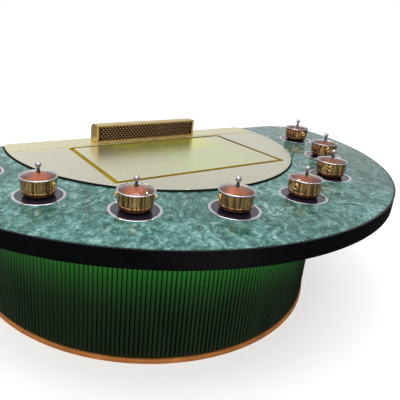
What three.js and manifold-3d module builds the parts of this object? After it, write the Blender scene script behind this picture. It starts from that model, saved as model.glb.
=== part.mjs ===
// A half-round chef's table: a griddle let into a brass deck, a rising extraction
// hood behind it, and eight flush cookers with small lidded pots along the guests' edge.
// Millimetres, +Z up. The origin is on the floor, under the middle of the table's outline.
// -Y is the guests' curved side and +Y is the chef's straight side.

import * as THREE from 'three';
import { mergeVertices } from 'three/addons/utils/BufferGeometryUtils.js';
import Module from 'manifold-3d';

const wasm = await Module();
wasm.setup();

// ---------------------------------------------------------------- driving dimensions

const GAP = 0.3;                 // between pieces that touch
const SHEET = 3;                 // thickness of every folded tray, duct and flange
const CUT = 10;                  // how far a cutting solid runs past the piece it cuts

const TOP_RADIUS = 1400;
const TOP_HEIGHT = 780;
const BACK_Y = 775;              // the chef's straight edge
const FLANK = 150;               // from the arc's centre line to the straight edge
const TOP_CORNER = 250;
const STONE_THICKNESS = 20;
const BAND_HEIGHT = 75;
const BAND_WIDTH = 8;
const BAND_DROP = 1;             // the band stops this far under the stone's face

const DECK_RADIUS = 870;
const DECK_CORNER = 40;
const DECK_RISE = 9;             // how far the deck stands above the stone
const DECK_THICKNESS = 6;
const SEAL_WIDTH = 6;            // the dark joint that shows round the deck
const SEAL_COVER = 8;            // how far the joint runs on under the deck
const SEAL_END = 10;             // how far the joint's ends stop short of the edge band
const BAY_CLEARANCE = 0.7;       // between the joint and the stone
const APRON_THICKNESS = 4;
const PAN_DEPTH = 2.5;           // the deck is dished inside its rim
const PAN_RADIUS = DECK_RADIUS - 32;
const PAN_BACK_Y = 626;

const GRIDDLE_LENGTH = 1028;
const GRIDDLE_DEPTH = 574;
const GRIDDLE_THICKNESS = 20;
const GRIDDLE_CENTRE_Y = 302;
const GRIDDLE_PLAY = 1;          // all round the griddle, inside its tray
const GUTTER_WIDTH = 27;
const TRAY_FOOT = 640;
const TRAY_RIM = TOP_HEIGHT - 5;
const TRAY_LEDGE = 10;

const HOOD_LENGTH = 700;
const HOOD_DEPTH = 95;
const HOOD_RISE = 106;           // how far the hood stands above the deck when it is up
const HOOD_TAIL = 60;            // how much of it stays below the deck
const HOOD_FRONT_Y = 645;
const HOOD_WALL = 3;
const HOOD_ROUND = 40;           // radius of the upper back edge
const HOOD_BORDER = 12;          // beside the grille
const HOOD_SILL = 9;             // under and over the grille
const HOOD_CLEARANCE = 2;        // between the hood and the deck's slot
const DUCT_CLEARANCE = 3;
const DUCT_FOOT = 560;
const WELL_CLEARANCE = 5;        // between the heater's tray and the board round it

const SEATS = 8;
const SEAT_RADIUS = 1083;
const SEAT_STEP = 21.8;          // degrees between neighbours
const TRIM_RADIUS = 110;
const TRIM_WIDTH = 12;
const TRIM_RISE = 2;
const TRIM_LEDGE = 6;            // the stone under each trim ring
const COOKER_RISE = 1.5;
const COOKER_GLASS = 6;          // thickness of a cooker's glass
const GLASS_OVERHANG = 4;        // how far the glass stands out over its housing
const HOUSING_RECESS = 10;       // from the soffit up to the housing's foot

const BASE_RADIUS = 1050;
const BASE_BACK_Y = BACK_Y - 10;
const FLUTES_ON_ARC = 154;
const FLUTES_ON_FLANK = 7;
const FLUTE_DEPTH = 7;
const FLUTE_BACKING = 9;         // solid acrylic behind the flutes
const PLINTH_HEIGHT = 22;
const PLINTH_LIP = 6;
const PLINTH_INSIDE = 16;        // how far the plinth shows inside the liner
const PLINTH_RAIL = 40;

const POT_RADIUS = 74;
const POT_HEIGHT = 80;
const LID_RADIUS = 77.5;

// ---------------------------------------------------------------- derived levels

const ARC_CENTRE_Y = BACK_Y - FLANK;
const STONE_UNDERSIDE = TOP_HEIGHT - STONE_THICKNESS;
const SOFFIT = TOP_HEIGHT - BAND_HEIGHT;
const DECK_TOP = TOP_HEIGHT + DECK_RISE;
const DECK_UNDERSIDE = DECK_TOP - DECK_THICKNESS;
const PAN_LEVEL = DECK_TOP - PAN_DEPTH;
const COOKER_TOP = TOP_HEIGHT + COOKER_RISE;
const POT_FOOT = COOKER_TOP + GAP;
const SEAL_OUTER = DECK_RADIUS + SEAL_WIDTH;
const HOOD_CENTRE_Y = HOOD_FRONT_Y + HOOD_DEPTH / 2;
const HOOD_FOOT = DECK_TOP - HOOD_TAIL;
const GUTTER_FLOOR = STONE_UNDERSIDE + SHEET;
const PANEL_THICKNESS = 18;
const PANEL_FRONT_Y = BASE_BACK_Y - PANEL_THICKNESS;

// ---------------------------------------------------------------- materials

function finish(colour, roughness, metalness) {
  return new THREE.MeshStandardMaterial({ color: colour, roughness, metalness });
}

const GREEN_MARBLE = finish(0x5f9488, 0.15, 0);
const BLACK_LACQUER = finish(0x141216, 0.3, 0);
const BRASS_SHEET = finish(0xcfc3a0, 0.32, 1);
const BRUSHED_STEEL = finish(0xbdbaa0, 0.35, 1);
const GOLD_TRIM = finish(0x9a7b35, 0.35, 1);
const POLISHED_STEEL = finish(0xc8ccd2, 0.12, 1);
const POLISHED_GOLD = finish(0xc9a24a, 0.12, 1);
const BLACK_GLASS = finish(0x0c0d14, 0.05, 0);
const LID_GLASS = finish(0xc7d0d6, 0.05, 0);
const GREEN_LACQUER = finish(0x1f6e2c, 0.2, 0);
const BRONZE_STRIP = finish(0x8a5020, 0.4, 1);
const PLYWOOD = finish(0xb08a5a, 0.8, 0);
const BLACK_RUBBER = finish(0x101010, 0.7, 0);
const CABINET_LAMINATE = finish(0x1b2a22, 0.45, 0);
const ZINC_SHEET = finish(0x9aa0a4, 0.5, 1);
const LED_DIFFUSER = finish(0xd9f2dc, 0.5, 0);
const BLACK_PLASTIC = finish(0x1c1c1e, 0.5, 0);

// ---------------------------------------------------------------- solids

const table = new THREE.Group();

function toSolid(geometry) {
  const bare = geometry.clone();
  bare.deleteAttribute('normal');
  bare.deleteAttribute('uv');
  const merged = mergeVertices(bare, 1e-4);
  const corners = merged.index.array;
  const kept = [];
  for (let i = 0; i < corners.length; i += 3) {
    const [a, b, c] = [corners[i], corners[i + 1], corners[i + 2]];
    if (a !== b && b !== c && c !== a) kept.push(a, b, c);
  }
  return new wasm.Manifold(new wasm.Mesh({
    numProp: 3,
    vertProperties: new Float32Array(merged.attributes.position.array),
    triVerts: new Uint32Array(kept),
  }));
}

function toGeometry(solid) {
  const mesh = solid.getMesh();
  const geometry = new THREE.BufferGeometry();
  geometry.setAttribute('position', new THREE.BufferAttribute(mesh.vertProperties, 3));
  geometry.setIndex(new THREE.BufferAttribute(mesh.triVerts, 1));
  geometry.computeVertexNormals();
  return geometry;
}

function addPiece(name, solid, material, parent = table) {
  const mesh = new THREE.Mesh(toGeometry(solid), material);
  mesh.name = name;
  parent.add(mesh);
  return mesh;
}

const toPath = (points) => points.map(([x, y]) => new THREE.Vector2(x, y));

// An upright prism on an outline in the XY plane.
function prism(outline, low, high) {
  const shape = new THREE.Shape(toPath(outline));
  const geometry = new THREE.ExtrudeGeometry(shape, { depth: high - low, bevelEnabled: false });
  geometry.translate(0, 0, low);
  return toSolid(geometry);
}

// A solid of revolution about Z from a profile of [radius, height] points. The profile runs
// up the outside and starts and ends on the axis, or closes on itself.
function revolve(profile, segments) {
  const geometry = new THREE.LatheGeometry(toPath(profile), segments);
  geometry.rotateX(Math.PI / 2);
  return toSolid(geometry);
}

function box(x0, x1, y0, y1, z0, z1) {
  const geometry = new THREE.BoxGeometry(x1 - x0, y1 - y0, z1 - z0);
  geometry.translate((x0 + x1) / 2, (y0 + y1) / 2, (z0 + z1) / 2);
  return toSolid(geometry);
}

// A rod or hole along Z, X or Y.
function rod(radius, length, centre, axis = 'z', segments = 16) {
  const geometry = new THREE.CylinderGeometry(radius, radius, length, segments);
  if (axis === 'z') geometry.rotateX(Math.PI / 2);
  if (axis === 'x') geometry.rotateZ(Math.PI / 2);
  geometry.translate(...centre);
  return toSolid(geometry);
}

// ---------------------------------------------------------------- outlines

const radians = (degrees) => degrees * Math.PI / 180;
const degrees = (angle) => angle * 180 / Math.PI;

function arc(x, y, radius, from, to, steps) {
  const points = [];
  for (let i = 0; i <= steps; i += 1) {
    const angle = radians(from + (to - from) * i / steps);
    points.push([x + radius * Math.cos(angle), y + radius * Math.sin(angle)]);
  }
  return points;
}

// A half-round outline: one long arc, a straight back edge and two rounded corners.
function halfRound(radius, backY, corner, steps = 64, cornerSteps = 8) {
  const y = backY - corner;
  const x = Math.sqrt((radius - corner) ** 2 - (y - ARC_CENTRE_Y) ** 2);
  const lean = degrees(Math.atan2(y - ARC_CENTRE_Y, x));
  return [
    ...arc(0, ARC_CENTRE_Y, radius, 180 - lean, 360 + lean, steps),
    ...arc(x, y, corner, lean, 90, cornerSteps).slice(1),
    ...arc(-x, y, corner, 90, 180 - lean, cornerSteps).slice(0, -1),
  ];
}

// A U-shaped line: down one straight flank, round the arc and back up the other.
function uLine(radius, backY, steps = 48) {
  return [[-radius, backY], ...arc(0, ARC_CENTRE_Y, radius, 180, 360, steps), [radius, backY]];
}

// A U-shaped wall between two such lines.
function uWall(outer, inner, backY, low, high) {
  return prism([...uLine(outer, backY), ...uLine(inner, backY).reverse()], low, high);
}

function rectangle(halfLength, halfDepth, centreY) {
  return [
    [-halfLength, centreY - halfDepth],
    [halfLength, centreY - halfDepth],
    [halfLength, centreY + halfDepth],
    [-halfLength, centreY + halfDepth],
  ];
}

// ---------------------------------------------------------------- places

function seatPlace(index) {
  const turn = (index - (SEATS - 1) / 2) * SEAT_STEP;
  return {
    turn: radians(turn),
    x: SEAT_RADIUS * Math.sin(radians(turn)),
    y: ARC_CENTRE_Y - SEAT_RADIUS * Math.cos(radians(turn)),
  };
}

function seatHoles(radius, low, high) {
  let holes = null;
  for (let i = 0; i < SEATS; i += 1) {
    const { x, y } = seatPlace(i);
    const hole = rod(radius, high - low, [x, y, (low + high) / 2], 'z', 20);
    holes = holes ? holes.add(hole) : hole;
  }
  return holes;
}

// ---------------------------------------------------------------- counter

const COOKER_HOLE = TRIM_RADIUS - TRIM_LEDGE;
const BOARD_HOLE = COOKER_HOLE - 4;     // the board's hole is a little smaller than the stone's
const APRON_HALF_LENGTH = Math.sqrt(
  (DECK_RADIUS - DECK_CORNER) ** 2 - (BACK_Y - DECK_CORNER - ARC_CENTRE_Y) ** 2);
const DRAIN = { x: 260, fromWall: 11.5, radius: 8, wall: 2.5, foot: 560 };
DRAIN.y = GRIDDLE_CENTRE_Y + GRIDDLE_DEPTH / 2 + GUTTER_WIDTH - DRAIN.fromWall;

function makeCounter() {
  const inset = BAND_WIDTH + GAP;
  const stoneOutline = halfRound(TOP_RADIUS - inset, BACK_Y - inset, TOP_CORNER - inset);
  const deckBay = prism(
    halfRound(SEAL_OUTER + BAY_CLEARANCE, BACK_Y + 2 * DECK_CORNER, DECK_CORNER), 0, TOP_HEIGHT + CUT);

  const stone = prism(stoneOutline, STONE_UNDERSIDE, TOP_HEIGHT)
    .subtract(deckBay)
    .subtract(seatHoles(COOKER_HOLE, STONE_UNDERSIDE - CUT, TOP_HEIGHT + CUT));
  addPiece('stone_top', stone, GREEN_MARBLE);

  const bandInner = prism(
    halfRound(TOP_RADIUS - BAND_WIDTH, BACK_Y - BAND_WIDTH, TOP_CORNER - BAND_WIDTH), 0, TOP_HEIGHT);
  const band = prism(halfRound(TOP_RADIUS, BACK_Y, TOP_CORNER), SOFFIT, TOP_HEIGHT - BAND_DROP)
    .subtract(bandInner)
    .subtract(box(
      -APRON_HALF_LENGTH - GAP, APRON_HALF_LENGTH + GAP,
      BACK_Y - BAND_WIDTH - CUT, BACK_Y + CUT, 0, TOP_HEIGHT));
  addPiece('edge_band', band, BLACK_LACQUER);

  // The board under the stone carries the deck's seal, the gutter and the cookers.
  const well = prism(
    rectangle(GRIDDLE_LENGTH / 2 + WELL_CLEARANCE, GRIDDLE_DEPTH / 2 + WELL_CLEARANCE, GRIDDLE_CENTRE_Y),
    0, TOP_HEIGHT);
  const ductReach = DUCT_CLEARANCE + SHEET + 0.5;
  const hoodWell = prism(
    rectangle(HOOD_LENGTH / 2 + ductReach, HOOD_DEPTH / 2 + ductReach, HOOD_CENTRE_Y), 0, TOP_HEIGHT);
  const board = prism(stoneOutline, SOFFIT, STONE_UNDERSIDE - GAP)
    .subtract(well)
    .subtract(hoodWell)
    .subtract(rod(DRAIN.radius + 2 * DRAIN.wall, 2 * TOP_HEIGHT, [DRAIN.x, DRAIN.y, 0]))
    .subtract(seatHoles(BOARD_HOLE, SOFFIT - CUT, STONE_UNDERSIDE + CUT));
  addPiece('counter_board', board, PLYWOOD);
}

// ---------------------------------------------------------------- deck and griddle

function makeDeck() {
  const openingHalfLength = GRIDDLE_LENGTH / 2 + GUTTER_WIDTH;
  const openingHalfDepth = GRIDDLE_DEPTH / 2 + GUTTER_WIDTH;
  const opening = prism(
    rectangle(openingHalfLength, openingHalfDepth, GRIDDLE_CENTRE_Y), 0, DECK_TOP + CUT);
  const hoodSlot = prism(
    rectangle(HOOD_LENGTH / 2 + HOOD_CLEARANCE, HOOD_DEPTH / 2 + HOOD_CLEARANCE, HOOD_CENTRE_Y),
    0, DECK_TOP + CUT);
  const apron = box(
    -APRON_HALF_LENGTH, APRON_HALF_LENGTH, BACK_Y - APRON_THICKNESS, BACK_Y, SOFFIT, DECK_UNDERSIDE + 1);
  // The deck's edge turns down round the griddle's opening and is the gutter's outer wall.
  const flange = prism(
    rectangle(openingHalfLength + SHEET, openingHalfDepth + SHEET, GRIDDLE_CENTRE_Y),
    GUTTER_FLOOR + GAP, DECK_UNDERSIDE + 1);
  const plate = prism(halfRound(DECK_RADIUS, BACK_Y, DECK_CORNER), DECK_UNDERSIDE, DECK_TOP)
    .subtract(prism(halfRound(PAN_RADIUS, PAN_BACK_Y, DECK_CORNER), PAN_LEVEL, DECK_TOP + CUT))
    .add(flange)
    .subtract(opening)
    .subtract(hoodSlot)
    .add(apron);
  addPiece('deck_plate', plate, BRASS_SHEET);

  const sealEndY = BACK_Y - BAND_WIDTH - SEAL_END;
  const sealSteps = 48;
  const sealInner = halfRound(DECK_RADIUS - SEAL_COVER, BACK_Y + DECK_CORNER / 2, DECK_CORNER, sealSteps);
  const seal = prism(
    halfRound(SEAL_OUTER - GAP, BACK_Y, DECK_CORNER, sealSteps), STONE_UNDERSIDE, DECK_UNDERSIDE - GAP)
    .subtract(prism(sealInner, 0, DECK_TOP))
    .subtract(box(-TOP_RADIUS, TOP_RADIUS, sealEndY, TOP_RADIUS, 0, DECK_TOP));
  addPiece('deck_seal', seal, BLACK_RUBBER);

  // The gutter's floor catches grease all round the griddle and drains through one spout.
  const trayHalfLength = GRIDDLE_LENGTH / 2 + GRIDDLE_PLAY + SHEET;
  const trayHalfDepth = GRIDDLE_DEPTH / 2 + GRIDDLE_PLAY + SHEET;
  const floorRing = prism(
    rectangle(openingHalfLength + SHEET, openingHalfDepth + SHEET, GRIDDLE_CENTRE_Y),
    STONE_UNDERSIDE, GUTTER_FLOOR)
    .subtract(prism(rectangle(trayHalfLength + GAP, trayHalfDepth + GAP, GRIDDLE_CENTRE_Y), 0, DECK_TOP))
    .add(rod(
      DRAIN.radius + DRAIN.wall, GUTTER_FLOOR - DRAIN.foot,
      [DRAIN.x, DRAIN.y, (GUTTER_FLOOR + DRAIN.foot) / 2]))
    .subtract(rod(DRAIN.radius, 2 * TOP_HEIGHT, [DRAIN.x, DRAIN.y, 0]));
  addPiece('grease_gutter', floorRing, GOLD_TRIM);

  const griddle = prism(
    rectangle(GRIDDLE_LENGTH / 2, GRIDDLE_DEPTH / 2, GRIDDLE_CENTRE_Y),
    PAN_LEVEL - GRIDDLE_THICKNESS, PAN_LEVEL);
  addPiece('griddle_plate', griddle, BRUSHED_STEEL);

  // The heater's tray carries the griddle on a ledge, and its wall is the gutter's inner one.
  const ledgeTop = PAN_LEVEL - GRIDDLE_THICKNESS - GAP;
  const insideTray = (inset) => rectangle(
    trayHalfLength - SHEET - inset, trayHalfDepth - SHEET - inset, GRIDDLE_CENTRE_Y);
  const heater = prism(rectangle(trayHalfLength, trayHalfDepth, GRIDDLE_CENTRE_Y), TRAY_FOOT, TRAY_RIM)
    .subtract(prism(insideTray(0), ledgeTop, DECK_TOP))
    .subtract(prism(insideTray(TRAY_LEDGE), TRAY_FOOT + SHEET, DECK_TOP))
    .subtract(prism(insideTray(0), TRAY_FOOT + SHEET, ledgeTop - SHEET));
  addPiece('heater_box', heater, GOLD_TRIM);
}

// ---------------------------------------------------------------- extraction

const GRILLE = { inset: 0.8, thickness: 2 };
const BRIDGE = { halfWidth: 15, thickness: 6, clearance: 1 };
const FAN = { y: 670, z: 600, radius: 62, width: 120, inlet: 24, axle: 8, axleOut: 6, blades: 8 };
const FAN_CASE = { reach: 160, below: 85, above: 90, around: 11 };   // gaps round the wheel's axis
const BLADE = { thickness: 3, rootGap: 4, tipGap: 2, endGap: 14 };
const HUB = { thickness: 4, fromEnd: 12 };
const OUTLET = { fromEnd: 30, halfWidth: 55 };
const LIFT = { foot: 400, radius: 8, clearance: 6 };
const MOTOR = { bore: 10, boreFoot: 250, tube: 20, radius: 26, height: 90, topGap: 5 };
const DUCT_HALF_LENGTH = HOOD_LENGTH / 2 + DUCT_CLEARANCE;
const DUCT_HALF_DEPTH = HOOD_DEPTH / 2 + DUCT_CLEARANCE;

// A cross-section in the YZ plane, drawn out along X. Points are [y, z].
function alongX(points, halfLength) {
  const shape = new THREE.Shape(toPath(points));
  const geometry = new THREE.ExtrudeGeometry(shape, { depth: 2 * halfLength, bevelEnabled: false });
  geometry.translate(0, 0, -halfLength);
  geometry.rotateY(Math.PI / 2);
  geometry.rotateX(Math.PI / 2);
  return toSolid(geometry);
}

// The hood's end view: an upright front, a flat top and a rounded upper back edge.
function hoodProfile(inset, foot) {
  const back = HOOD_FRONT_Y + HOOD_DEPTH - inset;
  const top = DECK_TOP + HOOD_RISE - inset;
  const round = HOOD_ROUND - inset;
  return [
    [HOOD_FRONT_Y + inset, foot],
    [back, foot],
    ...arc(back - round, top - round, round, 0, 90, 6),
    [HOOD_FRONT_Y + inset, top],
  ];
}

function makeHood() {
  const window = {
    halfLength: HOOD_LENGTH / 2 - HOOD_BORDER,
    low: DECK_TOP + HOOD_SILL,
    high: DECK_TOP + HOOD_RISE - HOOD_SILL,
  };
  const bridge = box(
    -HOOD_LENGTH / 2 + BRIDGE.clearance, HOOD_LENGTH / 2 - BRIDGE.clearance,
    HOOD_CENTRE_Y - BRIDGE.halfWidth, HOOD_CENTRE_Y + BRIDGE.halfWidth,
    HOOD_FOOT, HOOD_FOOT + BRIDGE.thickness);
  const shell = alongX(hoodProfile(0, HOOD_FOOT), HOOD_LENGTH / 2)
    .subtract(alongX(hoodProfile(HOOD_WALL, HOOD_FOOT - CUT), HOOD_LENGTH / 2 - HOOD_WALL))
    .subtract(box(
      -window.halfLength, window.halfLength,
      HOOD_FRONT_Y - CUT, HOOD_FRONT_Y + CUT, window.low, window.high))
    .add(bridge);
  addPiece('hood_shell', shell, GOLD_TRIM);

  const grille = box(
    -window.halfLength + GAP, window.halfLength - GAP,
    HOOD_FRONT_Y + GRILLE.inset, HOOD_FRONT_Y + GRILLE.inset + GRILLE.thickness,
    window.low + GAP, window.high - GAP);
  addPiece('hood_grille', grille, GOLD_TRIM);

  const duct = prism(
    rectangle(DUCT_HALF_LENGTH + SHEET, DUCT_HALF_DEPTH + SHEET, HOOD_CENTRE_Y),
    DUCT_FOOT, DECK_UNDERSIDE - GAP)
    .subtract(prism(
      rectangle(DUCT_HALF_LENGTH, DUCT_HALF_DEPTH, HOOD_CENTRE_Y), DUCT_FOOT + SHEET, DECK_TOP))
    .subtract(rod(LIFT.radius + LIFT.clearance, 4 * CUT, [0, HOOD_CENTRE_Y, DUCT_FOOT]))
    .subtract(box(
      -DUCT_HALF_LENGTH - CUT, -DUCT_HALF_LENGTH + 1, FAN.y - FAN.inlet, FAN.y + FAN.inlet,
      FAN.z - FAN.inlet, FAN.z + FAN.inlet));
  addPiece('hood_duct', duct, ZINC_SHEET);
}

// The blower stands beside the duct: air enters through a round hole and leaves downwards.
function makeBlower() {
  const right = -DUCT_HALF_LENGTH - SHEET - GAP;
  const left = right - FAN_CASE.reach;
  const low = FAN.z - FAN_CASE.below;
  const high = FAN.z + FAN_CASE.above;
  const halfWidth = FAN.radius + FAN_CASE.around;
  const housing = box(left, right, FAN.y - halfWidth, FAN.y + halfWidth, low, high)
    .subtract(box(
      left + SHEET, right - SHEET, FAN.y - halfWidth + SHEET, FAN.y + halfWidth - SHEET,
      low + SHEET, high - SHEET))
    .subtract(rod(FAN.inlet, 2 * CUT, [right, FAN.y, FAN.z], 'x'))
    .subtract(rod(FAN.axle + 0.5, 2 * CUT, [left, FAN.y, FAN.z], 'x', 12))
    .subtract(box(
      left + OUTLET.fromEnd, right - OUTLET.fromEnd, FAN.y - OUTLET.halfWidth, FAN.y + OUTLET.halfWidth,
      low - CUT, low + CUT));
  addPiece('blower_housing', housing, ZINC_SHEET);

  // The wheel is a hub plate with straight blades, on an axle that runs out through the end.
  const wheelX = (left + right) / 2;
  const axleEnd = left - FAN.axleOut;
  const hubX = wheelX - FAN.width / 2 + HUB.fromEnd;
  let wheel = rod(FAN.radius, HUB.thickness, [hubX, FAN.y, FAN.z], 'x')
    .add(rod(FAN.axle, wheelX - axleEnd, [(wheelX + axleEnd) / 2, FAN.y, FAN.z], 'x', 12));
  const bladeHeight = FAN.radius - BLADE.rootGap - BLADE.tipGap;
  for (let i = 0; i < FAN.blades; i += 1) {
    const blade = new THREE.BoxGeometry(FAN.width - 2 * BLADE.endGap, BLADE.thickness, bladeHeight);
    blade.translate(0, 0, bladeHeight / 2 + BLADE.rootGap);
    blade.rotateX(i / FAN.blades * 2 * Math.PI);
    blade.translate(wheelX, FAN.y, FAN.z);
    wheel = wheel.add(toSolid(blade));
  }
  addPiece('blower_wheel', wheel, ZINC_SHEET);
}

// A tubular lift motor on the cabinet floor pushes the hood up.
function makeLift() {
  const cabinetFloor = PLINTH_HEIGHT + PANEL_THICKNESS + 2 * GAP;
  const motorTop = DUCT_FOOT - MOTOR.topGap;
  const tubeFoot = cabinetFloor + MOTOR.height - CUT;
  const motor = rod(MOTOR.radius, MOTOR.height, [0, HOOD_CENTRE_Y, cabinetFloor + MOTOR.height / 2])
    .add(rod(MOTOR.tube, motorTop - tubeFoot, [0, HOOD_CENTRE_Y, (motorTop + tubeFoot) / 2]))
    .subtract(rod(MOTOR.bore, motorTop, [0, HOOD_CENTRE_Y, motorTop / 2 + MOTOR.boreFoot]));
  addPiece('lift_motor', motor, BLACK_PLASTIC);
  const rodTop = HOOD_FOOT - GAP;
  const pusher = rod(LIFT.radius, rodTop - LIFT.foot, [0, HOOD_CENTRE_Y, (rodTop + LIFT.foot) / 2]);
  addPiece('lift_rod', pusher, POLISHED_STEEL);
}

// ---------------------------------------------------------------- base

function flutedLine() {
  const points = [];
  const flank = PANEL_FRONT_Y - GAP - ARC_CENTRE_Y;
  const valley = BASE_RADIUS - FLUTE_DEPTH;
  for (let i = 0; i < FLUTES_ON_FLANK; i += 1) {
    const y = ARC_CENTRE_Y + flank * (1 - i / FLUTES_ON_FLANK);
    points.push([-valley, y], [-BASE_RADIUS, y - flank / FLUTES_ON_FLANK / 2]);
  }
  for (let i = 0; i < FLUTES_ON_ARC; i += 1) {
    const step = 180 / FLUTES_ON_ARC;
    const start = radians(180 + i * step);
    const middle = radians(180 + (i + 0.5) * step);
    points.push([valley * Math.cos(start), ARC_CENTRE_Y + valley * Math.sin(start)]);
    points.push([BASE_RADIUS * Math.cos(middle), ARC_CENTRE_Y + BASE_RADIUS * Math.sin(middle)]);
  }
  for (let i = 0; i < FLUTES_ON_FLANK; i += 1) {
    const y = ARC_CENTRE_Y + flank * i / FLUTES_ON_FLANK;
    points.push([valley, y], [BASE_RADIUS, y + flank / FLUTES_ON_FLANK / 2]);
  }
  points.push([valley, ARC_CENTRE_Y + flank]);
  return points;
}

const LINER_OUTER = BASE_RADIUS - FLUTE_DEPTH - FLUTE_BACKING;
const LINER_INNER = LINER_OUTER - PANEL_THICKNESS;
const WALL_FOOT = PLINTH_HEIGHT + GAP;
const WALL_TOP = SOFFIT - GAP;

const LIGHT = { offset: 6, width: 12, height: 8 };
const DOOR = { width: 460, foot: 62, height: 600, hingeX: 980, clearance: 2 };
const PULL = { fromEdge: 30, halfWidth: 9, low: 200, high: 80 };   // low and high are below the door's top
const DRAWER = { left: 70, width: 400, foot: 420, height: 120, depth: 330, clearance: 2 };
const TRAY = { side: 10, under: 8, over: 15 };                     // gaps inside the drawer's front
const GRIP = { halfLength: 60, depth: 12, height: 24 };
const CONTROLS = { halfWidth: 200, foot: 590, height: 80, plateY: BASE_BACK_Y - 13 };
const KNOB = { x: 120, radius: 21, depth: 14, standOff: 4 };
const STEM = { radius: 4, hole: 5, length: 6 };
const RIDGE = { halfWidth: 2, height: 3, root: 4 };
const BUTTON = { half: 14, hole: 15, depth: 9, back: 0.5 };
const CONTROLS_Z = CONTROLS.foot + CONTROLS.height / 2;

function makeBase() {
  const plinth = prism(uLine(BASE_RADIUS + PLINTH_LIP, BASE_BACK_Y, 64), 0, PLINTH_HEIGHT)
    .subtract(prism(
      uLine(LINER_INNER - PLINTH_INSIDE, PANEL_FRONT_Y - PLINTH_RAIL, 32),
      -CUT, PLINTH_HEIGHT + CUT));
  addPiece('plinth_frame', plinth, BRONZE_STRIP);

  const floorInset = GAP + 1;   // the floor drops in between the liner and the back panel
  const floor = prism(
    uLine(LINER_INNER - floorInset, PANEL_FRONT_Y - floorInset, 32), WALL_FOOT, WALL_FOOT + PANEL_THICKNESS);
  addPiece('cabinet_floor', floor, CABINET_LAMINATE);

  const liner = uWall(LINER_OUTER, LINER_INNER, PANEL_FRONT_Y - GAP, WALL_FOOT, WALL_TOP);
  addPiece('cabinet_liner', liner, PLYWOOD);

  const fluted = prism(
    [...flutedLine(), ...uLine(LINER_OUTER + GAP, PANEL_FRONT_Y - GAP).reverse()],
    WALL_FOOT, WALL_TOP);
  addPiece('fluted_panel', fluted, GREEN_LACQUER);

  const light = prism(
    [...arc(0, ARC_CENTRE_Y, BASE_RADIUS + LIGHT.offset + LIGHT.width, 180, 360, 48),
      ...arc(0, ARC_CENTRE_Y, BASE_RADIUS + LIGHT.offset, 360, 180, 48)],
    WALL_TOP - LIGHT.height, WALL_TOP);
  addPiece('light_strip', light, LED_DIFFUSER);

  let panel = box(-BASE_RADIUS, BASE_RADIUS, PANEL_FRONT_Y, BASE_BACK_Y, WALL_FOOT, WALL_TOP);
  for (const side of [-1, 1]) {
    const outer = side * (DOOR.hingeX + DOOR.clearance);
    const inner = side * (DOOR.hingeX - DOOR.width - DOOR.clearance);
    panel = panel.subtract(box(
      Math.min(outer, inner), Math.max(outer, inner), PANEL_FRONT_Y - CUT, BASE_BACK_Y + CUT,
      DOOR.foot - DOOR.clearance, DOOR.foot + DOOR.height + DOOR.clearance));
  }
  panel = panel
    .subtract(box(
      DRAWER.left - DRAWER.clearance, DRAWER.left + DRAWER.width + DRAWER.clearance,
      PANEL_FRONT_Y - CUT, BASE_BACK_Y + CUT,
      DRAWER.foot - DRAWER.clearance, DRAWER.foot + DRAWER.height + DRAWER.clearance))
    .subtract(box(
      -CONTROLS.halfWidth - GAP, CONTROLS.halfWidth + GAP, PANEL_FRONT_Y - CUT, BASE_BACK_Y + CUT,
      CONTROLS.foot - GAP, CONTROLS.foot + CONTROLS.height + GAP));
  addPiece('service_panel', panel, CABINET_LAMINATE);
}

// ---------------------------------------------------------------- doors, drawer, controls

function makeDoor(name, side) {
  const outer = side * DOOR.hingeX;
  const inner = side * (DOOR.hingeX - DOOR.width);
  const [left, right] = [Math.min(outer, inner), Math.max(outer, inner)];
  const top = DOOR.foot + DOOR.height;
  const pullX = inner + side * PULL.fromEdge;
  // A slot through the free edge is the finger pull.
  const door = box(left, right, PANEL_FRONT_Y, BASE_BACK_Y, DOOR.foot, top)
    .subtract(box(
      pullX - PULL.halfWidth, pullX + PULL.halfWidth, PANEL_FRONT_Y - CUT, BASE_BACK_Y + CUT,
      top - PULL.low, top - PULL.high));
  addPiece(name, door, CABINET_LAMINATE);
}

function makeDrawer() {
  const right = DRAWER.left + DRAWER.width;
  const top = DRAWER.foot + DRAWER.height;
  const trayLeft = DRAWER.left + TRAY.side;
  const trayRight = right - TRAY.side;
  const trayBack = BASE_BACK_Y - DRAWER.depth;
  const trayFoot = DRAWER.foot + TRAY.under;
  const tray = box(trayLeft, trayRight, trayBack, PANEL_FRONT_Y + 1, trayFoot, top - TRAY.over)
    .subtract(box(
      trayLeft + SHEET, trayRight - SHEET, trayBack + SHEET, PANEL_FRONT_Y - 1,
      trayFoot + SHEET, top + CUT));
  const middle = DRAWER.left + DRAWER.width / 2;
  const front = box(DRAWER.left, right, PANEL_FRONT_Y, BASE_BACK_Y, DRAWER.foot, top)
    .subtract(box(
      middle - GRIP.halfLength, middle + GRIP.halfLength, BASE_BACK_Y - GRIP.depth, BASE_BACK_Y + CUT,
      top - GRIP.height, top + CUT));
  addPiece('grease_drawer', tray.add(front), ZINC_SHEET);
}

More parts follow.
